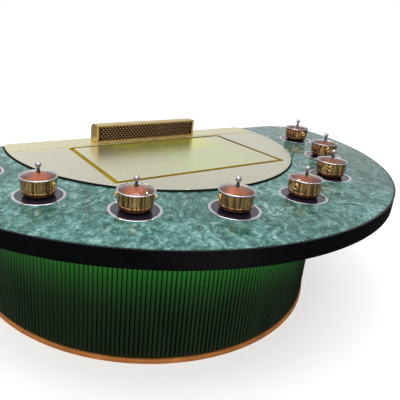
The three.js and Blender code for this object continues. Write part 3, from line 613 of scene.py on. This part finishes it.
ARC_Y = plinth_low.y + plinth_high.x     # where every arc of the table is centred
TOP_RADIUS = ARC_Y - band_low.y
TOP_BACK = band_high.y
TOP_CORNER = 0.250
BAND = 0.008
DECK_RADIUS = ARC_Y - deck_low.y
DECK_CORNER = 0.040
DECK_TOP = deck_high.z
DECK_PLATE = 0.006
PAN_TOP = griddle_high.z
PAN_DEPTH = DECK_TOP - PAN_TOP
PAN_BACK = 0.626
GUTTER_RIM = (-0.541, 0.541, -0.012, 0.616)   # the deck's opening: x, x, y, y
APRON_X = math.sqrt((DECK_RADIUS - DECK_CORNER) ** 2 - (TOP_BACK - DECK_CORNER - ARC_Y) ** 2)
HOOD_FRONT = hood_low.y
HOOD_BACK = hood_high.y
HOOD_HALF = hood_high.x


def centre(node):
    low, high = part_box(node)
    return (low + high) / 2


# ---------------------------------------------------------------- counter

def horseshoe(outer, inner):
    """The stone's outline: a half-round with a round bay open to the back."""

    def outline(inset):
        rim = outer(inset)
        back = max(p[1] for p in rim)
        split = max(i for i, p in enumerate(rim) if p[0] > 0)
        radius = inner + inset
        lean = math.degrees(math.asin((back - ARC_Y) / radius))
        bay = arc(0, ARC_Y, radius, lean, -180 - lean, 160)
        return rim[:split + 1] + bay + rim[split + 1:]

    return outline


def make_counter():
    inset = BAND + 0.0003
    rim = fitted(half_round(TOP_RADIUS - inset, TOP_BACK - inset, TOP_CORNER - inset), stone_high.x)
    stone = Piece("stone_slab")
    holes = []
    for i in SEATS:
        low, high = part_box(f"cooker_trim_{i}")
        middle = centre(f"cooker_trim_{i}")
        holes.append(circle(middle.x, middle.y, (high.x - low.x) / 2 - 0.005))
    side = edge(stone_low.z, stone_high.z, 0.0005, 0.0025)
    plain = [(0, stone_low.z), (0, stone_high.z)]
    stone.slab(horseshoe(rim, seal_high.x + 0.0012), side, holes, plain)
    stone.build([MARBLE], "root", "green_marble", "stone_top")

    outer = fitted(half_round(TOP_RADIUS, TOP_BACK, TOP_CORNER), band_high.x)

    def band_path(d):
        points = outer(d)
        split = max(i for i, p in enumerate(points) if p[0] > 0)
        ends = [(-APRON_X - 0.001, TOP_BACK - d)], [(APRON_X + 0.001, TOP_BACK - d)]
        return ends[0] + points[split + 1:] + points[:split + 1] + ends[1]

    band = Piece("edge_band_strip")
    band.sweep(band_path, soften([
        (0, band_low.z, 0.0025), (0, band_high.z, 0.0008),
        (BAND, band_high.z, 0.0005), (BAND, band_low.z, 0.001),
    ], closed=True), closed=False)
    band.build([LACQUER], "root", "black_lacquer", "edge_band")


# ---------------------------------------------------------------- deck, gutter, griddle

def make_deck():
    deck = Piece("deck_sheet")
    under = DECK_TOP - DECK_PLATE
    outline = half_round(DECK_RADIUS, TOP_BACK, DECK_CORNER)
    side = edge(under, DECK_TOP, 0.0005, 0.0025)
    rings = [deck.loop([(x, y, z) for x, y in outline(d)]) for d, z in side]
    slope = 0.007
    pan = half_round(DECK_RADIUS - 0.027, PAN_BACK + slope / 2, 0.050)
    steps = 10
    for i in range(steps + 1):
        t = i / steps
        drop = PAN_DEPTH * t * t * (3 - 2 * t)
        rings.append(deck.loop([(x, y, DECK_TOP - drop) for x, y in pan(slope * t)]))
    first = len(side)
    # Painted shadow: the sheet's outer side faces take the black rubber instead of brass, drawing a dark line
    # along the deck's edge.
    for (a, b), (inset, _) in zip(zip(rings[:first - 1], rings[1:first]), side[1:]):
        deck.look = 0 if inset > 0.0004 else 1
        deck.bridge(a, b)
    deck.look = 0
    for a, b in zip(rings[first:-1], rings[first + 1:]):
        deck.bridge(a, b)
    deck.cap(rings[0])
    deck.cap(rings[first - 1], rings[first])
    deck.cap(rings[-1])

    lip = 0.0012
    flare = [(0, under - 0.01), (0, PAN_TOP - lip), (-lip, PAN_TOP + 0.0001), (-lip, DECK_TOP + 0.01)]
    opening = Piece("opening")
    opening.slab(rectangle(*GUTTER_RIM, 0.004), flare)
    slot = Piece("slot")
    flare = [(0, under - 0.01), (0, DECK_TOP - lip), (-lip, DECK_TOP + 0.0001), (-lip, DECK_TOP + 0.01)]
    slot.slab(rectangle(
        -HOOD_HALF - 0.002, HOOD_HALF + 0.002, HOOD_FRONT - 0.002, HOOD_BACK + 0.002, 0.003), flare)
    mesh = carve(deck.mesh([BRASS, RUBBER]), opening.mesh([BRASS]), slot.mesh([BRASS]))
    mesh.name = "deck_sheet"
    even_shading(add("deck_sheet", mesh, "root", "brass_sheet", "deck_plate"))

    # The gutter's outer wall hangs from the deck round the griddle's opening.
    gutter_floor = stone_low.z + 0.0033
    wall = Piece("gutter_wall")
    inner = rectangle(*GUTTER_RIM, 0.004)
    wall.sweep(grown(inner), soften([
        (0.0003, gutter_floor, 0), (0.0003, under - 0.0002, 0), (0.003, under - 0.0002, 0),
        (0.003, gutter_floor, 0.0005),
    ], closed=True), closed=True)
    mesh = wall.mesh([GUTTER])
    mesh.name = "gutter_wall"
    add("gutter_wall", mesh, "root", "gold_trim", "deck_plate")

    apron = Piece("deck_apron", Matrix(((1, 0, 0, 0), (0, 0, 1, 0), (0, 1, 0, 0), (0, 0, 0, 1))))
    apron.slab(
        rectangle(-APRON_X, APRON_X, deck_low.z, under, 0.001),
        edge(TOP_BACK - 0.004, TOP_BACK, 0.0003, 0.0012))
    apron.build([BRASS], "root", "brass_sheet", "deck_plate")

    seal = Piece("deck_joint")
    ends = seal_high.y

    def seal_path(d):
        radius = seal_high.x - d
        lean = math.degrees(math.asin((ends - ARC_Y) / radius))
        return arc(0, ARC_Y, radius, 180 - lean, 360 + lean, 200)

    seal.sweep(seal_path, soften([
        (0, seal_low.z, 0), (0, seal_high.z, 0.002), (0.012, seal_high.z, 0), (0.012, seal_low.z, 0),
    ], closed=True), closed=False)
    seal.build([RUBBER], "root", "black_rubber", "deck_seal")

    plate = Piece("griddle_slab")
    plate.slab(
        rectangle(griddle_low.x, griddle_high.x, griddle_low.y, griddle_high.y, 0.004),
        edge(griddle_low.z, griddle_high.z, 0.0005, 0.003))
    # Painted reflection: the steel slab's side faces take the gutter's gold, standing in for the gold gutter
    # walls mirrored in them.
    plate.looks = [0 if flat or min(plate.verts[i][2] for i in face) > griddle_high.z - 0.0025 else 1
                   for face, flat in zip(plate.faces, plate.flat)]
    plate.build([GRIDDLE, GUTTER], "root", "griddle_steel", "griddle_plate")


# ---------------------------------------------------------------- hood

ALONG_X = Matrix(((0, 0, 1, 0), (1, 0, 0, 0), (0, 1, 0, 0), (0, 0, 0, 1)))
UPRIGHT = Matrix(((1, 0, 0, 0), (0, 0, 1, 0), (0, 1, 0, 0), (0, 0, 0, 1)))


def make_hood():
    def profile(foot):
        def outline(inset):
            back, top = HOOD_BACK - inset, hood_high.z - inset
            r = 0.040 - inset
            return [
                (HOOD_FRONT + inset, foot), (back, foot),
                *arc(back - r, top - r, r, 0, 90, 14),
                *arc(HOOD_FRONT + inset + 0.003, top - 0.003, 0.003, 90, 180, 4),
            ]
        return outline

    wall = 0.003
    e = 0.003
    shell = Piece("shell", ALONG_X)
    shell.slab(profile(hood_low.z), [
        *reversed([(d, -x) for d, x in edge(0, HOOD_HALF, 0, e)[1:]]),
        *edge(0, HOOD_HALF, 0, e)[1:],
    ])
    hollow = Piece("hollow", ALONG_X)
    hollow.slab(
        lambda d: profile(hood_low.z - 0.01)(d + wall), [(0, -HOOD_HALF + wall), (0, HOOD_HALF - wall)])
    hollow_mesh = hollow.mesh([GOLD, SHADOW])
    # The hollow's faces take the painted shadow finish.
    for polygon in hollow_mesh.polygons:
        polygon.material_index = 1
    grille_low, grille_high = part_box("hood_grille")
    grille_fit = 0.0003
    window = Piece("window", UPRIGHT)
    window.slab(
        rectangle(
            grille_low.x - grille_fit, grille_high.x + grille_fit,
            grille_low.z - grille_fit, grille_high.z + grille_fit, 0.002),
        [(-0.0012, HOOD_FRONT - 0.01), (-0.0012, HOOD_FRONT - 0.0001), (0, HOOD_FRONT + 0.0012),
         (0, HOOD_FRONT + 0.02)])
    mesh = carve(shell.mesh([GOLD, SHADOW]), hollow_mesh, window.mesh([GOLD]))
    mesh.name = "hood_casing"
    even_shading(add("hood_casing", mesh, "hood", "gold_trim", "hood_shell"))

    # Diamond holes in staggered rows leave a thin lattice with a bright stud on each crossing.
    column, row, strip = 0.022, 0.013, 0.0022
    middle = (grille_low.z + grille_high.z) / 2
    rows, columns = 6, 30
    reach = 1 - strip / column * math.hypot(1, column / (2 * row)) * 2

    def diamond(x, z):
        across, tall = reach * column / 2, reach * row
        return lambda d: [(x - across, z), (x, z - tall), (x + across, z), (x, z + tall)]

    holes, studs = [], []
    half = grille_high.x - 0.004
    for j in range(-rows // 2, rows // 2 + 1):
        for k in range(-columns, columns + 1):
            x, z = k * column / 2, middle + j * row
            if abs(x) > half - column / 2:
                continue
            if (j + k) % 2:
                if abs(j) < rows // 2:
                    holes.append(diamond(x, z))
            else:
                studs.append((x, z))
    grille = Piece("hood_grille_plate", UPRIGHT)
    grille.slab(
        rectangle(grille_low.x, grille_high.x, grille_low.z, grille_high.z, 0.0017),
        [(0, grille_low.y), (0, grille_high.y)], holes)
    grille.look = 1
    for x, z in studs:
        rings = [
            grille.loop([(u, v, grille_low.y + y) for u, v in arc(x, z, r, 0, 360, 8)[:-1]])
            for r, y in ((0.0028, 0.0), (0.0023, -0.0004), (0.0012, -0.0007))]
        for a, b in zip(rings, rings[1:]):
            grille.bridge(a, b)
        grille.face(rings[-1])
        grille.face(rings[0], flat=True)
    grille.build([GRILLE, STUD], "hood", "gold_trim", "hood_grille")


# ---------------------------------------------------------------- base

def u_line(radius, back, steps=160):
    """Down one straight flank, round the arc and back up the other."""
    return lambda d: [
        (-radius + d, back), *arc(0, ARC_Y, radius - d, 180, 360, steps), (radius - d, back)]


def make_base():
    plinth = Piece("plinth_strip")
    plinth.sweep(u_line(plinth_high.x, plinth_high.y), soften([
        (0, 0, 0.001), (0, plinth_high.z, 0.004), (0.030, plinth_high.z, 0.001), (0.030, 0, 0.001),
    ], closed=True), closed=False)
    plinth.build([BRONZE], "root", "bronze_strip", "plinth_frame")

    # Each flute is a rounded rib, and its neighbours meet it in a sharp valley.
    crown = flutes_high.x
    depth = 0.007
    flutes_on_arc, flutes_on_flank, facets = 154, 7, 8
    flank = flutes_high.y - ARC_Y

    def ribs(inset):
        points = []

        def radius(share):
            return crown - depth + (depth - inset) * math.sin(math.pi * share) ** 0.55

        for i in range(flutes_on_flank * facets):
            s = i / facets
            points.append((-radius(s % 1), ARC_Y + flank * (1 - s / flutes_on_flank)))
        for i in range(flutes_on_arc * facets):
            s = i / facets
            angle = math.pi * (1 + s / flutes_on_arc)
            points.append((radius(s % 1) * math.cos(angle), ARC_Y + radius(s % 1) * math.sin(angle)))
        for i in range(flutes_on_flank * facets + 1):
            s = i / facets
            points.append((radius(s % 1), ARC_Y + flank * s / flutes_on_flank))
        return points

    panel = Piece("fluted_skin")
    low, high = flutes_low.z, flutes_high.z
    levels = [(0.003, low), (0.0, low + 0.003), (0.0, high - 0.003), (0.003, high)]
    rings = [panel.loop([(x, y, z) for x, y in ribs(d)]) for d, z in levels]
    liner = crown - depth - 0.0085
    inside = [(-liner, flutes_high.y)]
    for x, y in ribs(0)[1:-1]:
        if y >= ARC_Y:
            inside.append((math.copysign(liner, x), y))
        else:
            angle = math.atan2(y - ARC_Y, x)
            inside.append((liner * math.cos(angle), ARC_Y + liner * math.sin(angle)))
    inside.append((liner, flutes_high.y))
    rings += [panel.loop([(x, y, z) for x, y in inside]) for z in (high, low)]
    for a, b in zip(rings, rings[1:] + rings[:1]):
        panel.bridge(a, b, closed=False)
    panel.face([ring[0] for ring in rings], flat=True)
    panel.face([ring[-1] for ring in rings], flat=True)
    lacquer = fluted_lacquer(low + 0.05, high, crown - depth, crown - 0.001)
    panel.build([lacquer], "root", "green_lacquer", "fluted_panel")

    strip_low, strip_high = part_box("light_strip")
    strip = Piece("led_channel")
    strip.sweep(lambda d: arc(0, ARC_Y, strip_high.x - d, 180, 360, 160), soften([
        (0, strip_low.z, 0.003), (0, strip_high.z, 0),
        (0.0115, strip_high.z, 0), (0.0115, strip_low.z, 0.003),
    ], closed=True), closed=False)
    strip.build([STRIP], "root", "light_diffuser", "light_strip")


# ---------------------------------------------------------------- cookers and pots

def make_seats():
    millimetres = Matrix.Scale(0.001, 4)

    def turned(name, profile, materials, closed=False, steps=64, angle=32):
        piece = Piece(name, millimetres)
        piece.spin(profile, steps, closed)
        return piece.mesh(materials, angle)

    # Heights are above each node's own foot, in millimetres.
    trim = turned("cooker_ring", soften([
        (98, 0.3, 0), (110, 0.3, 0), (110, 1.0, 0.5), (108, 2.0, 1.5), (100, 2.0, 1.5), (98, 1.2, 0.5),
    ], closed=True), [CHROME], closed=True, steps=96)
    hob = turned("hob_disc", [
        (0, 0), *soften([(93.7, 0, 2), (93.7, 60.5, 0), (97.7, 60.5, 0), (97.7, 66.5, 1)]), (0, 66.5),
    ], [HOB_GLASS], steps=96)

    shell = turned("pot_shell", soften([
        (0, 2.4, 0), (0, 0, 0), (50, 0, 3), (66, 7, 9), (73.6, 30, 16), (73.2, 76, 1), (75, 78.2, 1.2),
        (74.5, 80, 1), (71.4, 80, 1), (71.6, 77, 0),
    ], steps=6)[1:], [POT_GOLD], steps=80)
    lining = turned("pot_lining", soften([
        (71.55, 77, 0), (71.9, 31, 14), (63.5, 9.5, 8), (49, 2.6, 3), (0, 2.6, 0),
    ], steps=6), [COPPER], steps=80)

    handles = Piece("pot_handles", millimetres)
    for side in (-1, 1):
        x = side * 78.4
        handles.tube([(x, 9.6 * math.sin(a), 54 + 9.6 * math.cos(a))
                      for a in (2 * math.pi * k / 28 for k in range(28))], 2.3, 10, closed=True)
        aside = Matrix.Rotation(side * math.pi / 2, 4, "Y")
        lug = Piece("lug", Matrix.Translation((0, 0, 0.0645)) @ aside @ millimetres)
        lug.spin(soften([
            (0, 71, 0), (6.5, 71, 0), (6.5, 75, 1), (4, 76.5, 1), (4, 81, 1.5), (0, 81.4, 0),
        ]), 20)
        shift = len(handles.verts)
        handles.verts += lug.verts
        for face in lug.faces:
            handles.face([i + shift for i in face])
    handle_mesh = handles.mesh([HANDLE_GOLD])

    rim = 80.3
    lid_rim = turned("lid_rim", soften([
        (69.8, rim - 3.6, 1), (71.4, rim - 3.6, 1), (71.8, rim, 0.5), (77.2, rim, 1), (77.4, rim + 2.6, 1.2),
        (75.8, rim + 4.4, 1), (73.6, rim + 4.2, 0.6), (73.4, rim + 1.2, 0.5), (70, rim + 1.2, 0.4),
    ], closed=True), [CHROME], closed=True, steps=80)
    dome = []
    for k in range(13):
        r = 73.2 * (1 - k / 12) + 6.2 * k / 12
        dome.append((r, rim + 4.1 + 14.5 * (1 - (r / 73.2) ** 2.2)))
    underside = [(r, z - 1.5) for r, z in reversed(dome)]
    glass = turned("lid_dome", dome + underside, [GLASS], closed=True, steps=80)
    collar = turned("lid_collar", soften([
        (0, rim + 15, 0), (8.6, rim + 15, 0), (8.8, rim + 20, 1.5), (5.2, rim + 33, 3),
        (5.6, rim + 38, 0), (0, rim + 38, 0),
    ]), [PLASTIC], steps=40)
    ball = turned("lid_knob", [
        (0, rim + 36.4), *[(12.8 * math.sin(a), rim + 49.1 - 12.8 * math.cos(a))
                           for a in (math.pi * k / 24 for k in range(3, 24))], (0, rim + 61.9),
    ], [KNOB_STEEL], steps=48)

    for i in SEATS:
        middle = centre(f"cooker_trim_{i}")
        turn = math.atan2(middle.x, ARC_Y - middle.y)
        spot = Matrix.Translation((middle.x, middle.y, 0)) @ Matrix.Rotation(turn, 4, "Z")

        def raised(node):
            return Matrix.Translation((0, 0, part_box(node)[0].z)) @ spot

        add(f"cooker_ring_{i}", trim, "root", "polished_steel", f"cooker_trim_{i}",
            at=Matrix.Translation((0, 0, stone_high.z)) @ spot)
        add(f"hob_disc_{i}", hob, "root", "black_glass", f"cooker_{i}", at=raised(f"cooker_{i}"))
        foot = raised(f"pot_{i}")
        add(f"pot_shell_{i}", shell, f"pot_{i}", "polished_gold", f"pot_{i}", at=foot)
        add(f"pot_lining_{i}", lining, f"pot_{i}", "polished_gold", f"pot_{i}", at=foot)
        add(f"pot_handles_{i}", handle_mesh, f"pot_{i}", "polished_gold", f"pot_{i}", at=foot)
        for label, mesh, slot in (
            ("lid_rim", lid_rim, "polished_steel"), ("lid_dome", glass, "lid_glass"),
            ("lid_collar", collar, "black_plastic"), ("lid_knob", ball, "polished_steel"),
        ):
            add(f"{label}_{i}", mesh, f"pot_lid_{i}", slot, f"pot_lid_{i}", at=foot)


# ---------------------------------------------------------------- controls

def make_controls():
    """Two ribbed knobs, a square button and a scale of dots round each knob."""
    for name in ("griddle_knob_left", "griddle_knob_right"):
        low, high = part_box(name)
        radius = (high.x - low.x) / 2
        middle = Vector(((low.x + high.x) / 2, 0, low.z + radius))
        place = Matrix.Translation(middle) @ Matrix.Rotation(-math.pi / 2, 4, "X")
        knob = Piece(f"{name}_cap", place)
        rings = []
        teeth = 24
        for inset, y in soften([
            (radius, low.y, 0), (radius - 0.004, low.y, 0), (radius - 0.004, low.y + 0.004, 0),
            (0.0, low.y + 0.0042, 0.001), (0.0025, high.y - 0.004, 0.002), (radius, high.y - 0.0035, 0),
        ]):
            ring = []
            for k in range(teeth * 4):
                angle = 2 * math.pi * k / (teeth * 4)
                r = max(radius - inset, 1e-5)
                if r > radius * 0.8:
                    r -= 0.0006 * (k % 4 in (2, 3))
                ring.append((r * math.cos(angle), r * math.sin(angle), y))
            rings.append(knob.loop(ring))
        for a, b in zip(rings, rings[1:]):
            knob.bridge(a, b)
        knob.face(rings[0])
        knob.face(rings[-1])
        knob.slab(rectangle(-0.0018, 0.0018, -radius + 0.0012, -0.001, 0.0008),
                  edge(high.y - 0.008, high.y, 0.0001, 0.001))
        knob.build([PLASTIC], name, "black_plastic", name)

        plate_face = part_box("control_plate")[1].y
        ring = radius + 0.009
        scale = Piece(f"{name}_scale", place)
        for k in range(10):
            angle = math.radians(-90 + 30 * k)
            dot = 0.0012 + 0.0001 * k
            scale.slab(
                lambda d, a=angle: circle(ring * math.cos(a), ring * math.sin(a), dot, 12)(-d),
                edge(plate_face - 0.0005, plate_face + 0.0004, 0, 0.0002))
        scale.build([PLASTIC], "root", "black_plastic")

    low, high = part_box("hood_button")
    button = Piece("hood_button_cap", UPRIGHT)
    button.slab(rectangle(low.x, high.x, low.z, high.z, 0.004), edge(low.y, high.y, 0.0003, 0.002))
    button.build([PLASTIC], "hood_button", "black_plastic", "hood_button")


def make_hinges():
    """Butt hinges on the doors' outer edges: one leaf each side of a knuckled barrel."""
    panel_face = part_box("service_panel")[1].y
    for name, side in (("door_left", 1), ("door_right", -1)):
        low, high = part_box(name)
        axis = high.x if side > 0 else low.x
        for number, z in enumerate((low.z + 0.08, (low.z + high.z) / 2, high.z - 0.08), 1):
            for body, reach, knuckles in (
                    (name, -side, (-0.0125, 0.0125)), ("root", side, (-0.025, 0.0, 0.025))):
                leaf = Piece(f"{name}_hinge_{number}_{'door' if body == name else 'frame'}", UPRIGHT)
                near, far = sorted((axis + reach * 0.0032, axis + reach * 0.022))
                leaf.slab(
                    rectangle(near, far, z - 0.031, z + 0.031, 0.002),
                    edge(panel_face + 0.0002, panel_face + 0.0015, 0, 0.0004),
                    [circle(axis + reach * 0.013, z + dz, 0.0018, 16) for dz in (-0.021, 0.0, 0.021)])
                for dz in knuckles:
                    foot = Matrix.Translation((axis, panel_face, z + dz - 0.006))
                    turned = Piece("knuckle", foot)
                    turned.spin(soften([
                        (0, 0, 0), (0.0034, 0, 0.0006), (0.0034, 0.012, 0.0006), (0, 0.012, 0),
                    ]), 20)
                    shift = len(leaf.verts)
                    leaf.verts += turned.verts
                    for face in turned.faces:
                        leaf.face([i + shift for i in face])
                leaf.build([ZINC], body, "zinc_sheet")


# ---------------------------------------------------------------- CAD nodes that stay

def keep(node, material, bevel=0.0):
    kept = NODES[node]
    if kept.material_slots:
        for place in kept.material_slots:
            place.material = material
    else:
        kept.data.materials.append(material)
    if bevel:
        weld = kept.modifiers.new("weld", "WELD")
        weld.merge_threshold = 0.00001
        round_off = kept.modifiers.new("bevel", "BEVEL")
        round_off.width = bevel
        round_off.segments = 2
        round_off.limit_method = "ANGLE"
        round_off.angle_limit = math.radians(50)
        round_off.harden_normals = True


def keep_nodes():
    for node, material, bevel in (
        ("counter_board", BOARD, 0), ("cabinet_liner", BOARD, 0), ("cabinet_floor", LAMINATE, 0),
        ("grease_gutter", GUTTER, 0), ("heater_box", GUTTER, 0), ("hood_duct", ZINC, 0),
        ("blower_housing", ZINC, 0), ("blower_wheel", ZINC, 0), ("lift_motor", PLASTIC, 0),
        ("lift_rod", CHROME, 0), ("service_panel", LAMINATE, 0.0015), ("door_left", LAMINATE, 0.0015),
        ("door_right", LAMINATE, 0.0015), ("grease_drawer", ZINC, 0.001), ("control_plate", ZINC, 0.0008),
    ):
        keep(node, material, bevel)


make_counter()
make_deck()
make_hood()
make_base()
make_seats()
make_controls()
make_hinges()
keep_nodes()


# ---------------------------------------------------------------- floor, light and camera

def make_stage():
    mesh = bpy.data.meshes.new("floor")
    size = 40
    mesh.from_pydata(
        [(-size, -size, 0), (size, -size, 0), (size, size, 0), (-size, size, 0)], [], [(0, 1, 2, 3)])
    finish = Finish("floor", Roughness=0.6, Emission_Color=(1, 1, 1, 1), Emission_Strength=0.42)
    tone = finish.noise(2, 3)
    finish.drive("Base Color", finish.mix(tone, (0.86, 0.86, 0.86), (0.90, 0.90, 0.90)))
    mesh.materials.append(finish.material)
    floor = bpy.data.objects.new("floor", mesh)
    bpy.context.scene.collection.objects.link(floor)
    floor.location.z = -0.0005

    # The floor lies outside the object's reflections, as on a dark studio's paper sweep.
    floor.visible_glossy = False
    floor.visible_diffuse = False

    # White behind the object, and a dome that lights it: brightest ahead, dim at the right.
    world = bpy.data.worlds.new("studio")
    bpy.context.scene.world = world
    world.use_nodes = True
    sky = Nodes(world.node_tree)
    direction = sky.node("ShaderNodeTexCoord").outputs["Generated"]
    axes = sky.node("ShaderNodeSeparateXYZ", {0: direction}).outputs
    dome = sky.ramp(
        sky.spread(axes[2], -1, 1),
        (0.47, (0.03, 0.03, 0.03)), (0.51, (0.60, 0.60, 0.60)),
        (0.54, (1.0, 1.0, 1.0)), (0.59, (1.0, 1.0, 1.0)),
        (0.66, (0.74, 0.74, 0.74)), (1.0, (0.60, 0.60, 0.60)))
    dome = sky.math("MULTIPLY", dome, sky.spread(axes[0], -0.8, 0.9, 1.36, 0.82))
    low_back = sky.spread(axes[1], 0.2, 0.9, 0.0, 0.34)
    dome = sky.math("MAXIMUM", dome, low_back)
    # A low glint ahead of the guests' side, which each rounded rib picks up as a thin line.
    low_light = sky.node("ShaderNodeVectorMath", {
        0: direction, 1: Vector((0.05, -0.85, -0.52)).normalized()}, operation="DOT_PRODUCT").outputs["Value"]
    glint = sky.math("MULTIPLY", sky.math("POWER", sky.math("MAXIMUM", low_light, 0.0), 30.0), 0.42)
    dome = sky.math("ADD", dome, glint)
    seen = sky.node("ShaderNodeLightPath").outputs["Is Camera Ray"]
    background = world.node_tree.nodes["Background"]
    background.inputs["Color"].default_value = (1, 1, 1, 1)
    world.node_tree.links.new(sky.math("MAXIMUM", dome, seen), background.inputs["Strength"])

    for name, energy, size, spot, aim in (
        ("overhead", 62, 2.6, (-0.9, -0.2, 3.4), (-0.9, -0.2, 0.6)),
        ("front", 30, 2.4, (-3.2, -3.4, 2.6), (0, 0, 0.5)),
        ("spot_left", 2.5, 0.14, (-0.9, 0.9, 3.0), (-0.5, 0, 0.8)),
        ("spot_right", 2.5, 0.14, (1.1, 0.9, 3.0), (0.5, 0, 0.8)),
        ("spot_front", 2.5, 0.14, (0.3, -1.6, 3.0), (0, -0.2, 0.8)),
    ):
        light = bpy.data.lights.new(name, "AREA")
        light.energy = energy
        light.size = size
        lamp = bpy.data.objects.new(name, light)
        bpy.context.scene.collection.objects.link(lamp)
        lamp.location = spot
        lamp.rotation_euler = (Vector(aim) - Vector(spot)).to_track_quat("-Z", "Y").to_euler()

    eye = bpy.data.cameras.new("camera")
    eye.sensor_width = 36
    eye.lens = 38.04
    eye.shift_x = 0.0989
    eye.shift_y = -0.0649
    camera = bpy.data.objects.new("camera", eye)
    bpy.context.scene.collection.objects.link(camera)
    yaw, pitch, roll = (math.radians(a) for a in (32.453, 18.796, -4.043))
    ahead = Vector((math.sin(yaw) * math.cos(pitch), math.cos(yaw) * math.cos(pitch), -math.sin(pitch)))
    right = Vector((math.cos(yaw), -math.sin(yaw), 0))
    down = ahead.cross(right)
    across = math.cos(roll) * right + math.sin(roll) * down
    up = math.sin(roll) * right - math.cos(roll) * down
    turn = Matrix((across, up, -ahead)).transposed().to_4x4()
    camera.matrix_world = Matrix.Translation((-1.327777, -1.620414, 1.453039)) @ turn
    bpy.context.scene.camera = camera
    bpy.context.scene.view_settings.view_transform = "Standard"


make_stage()
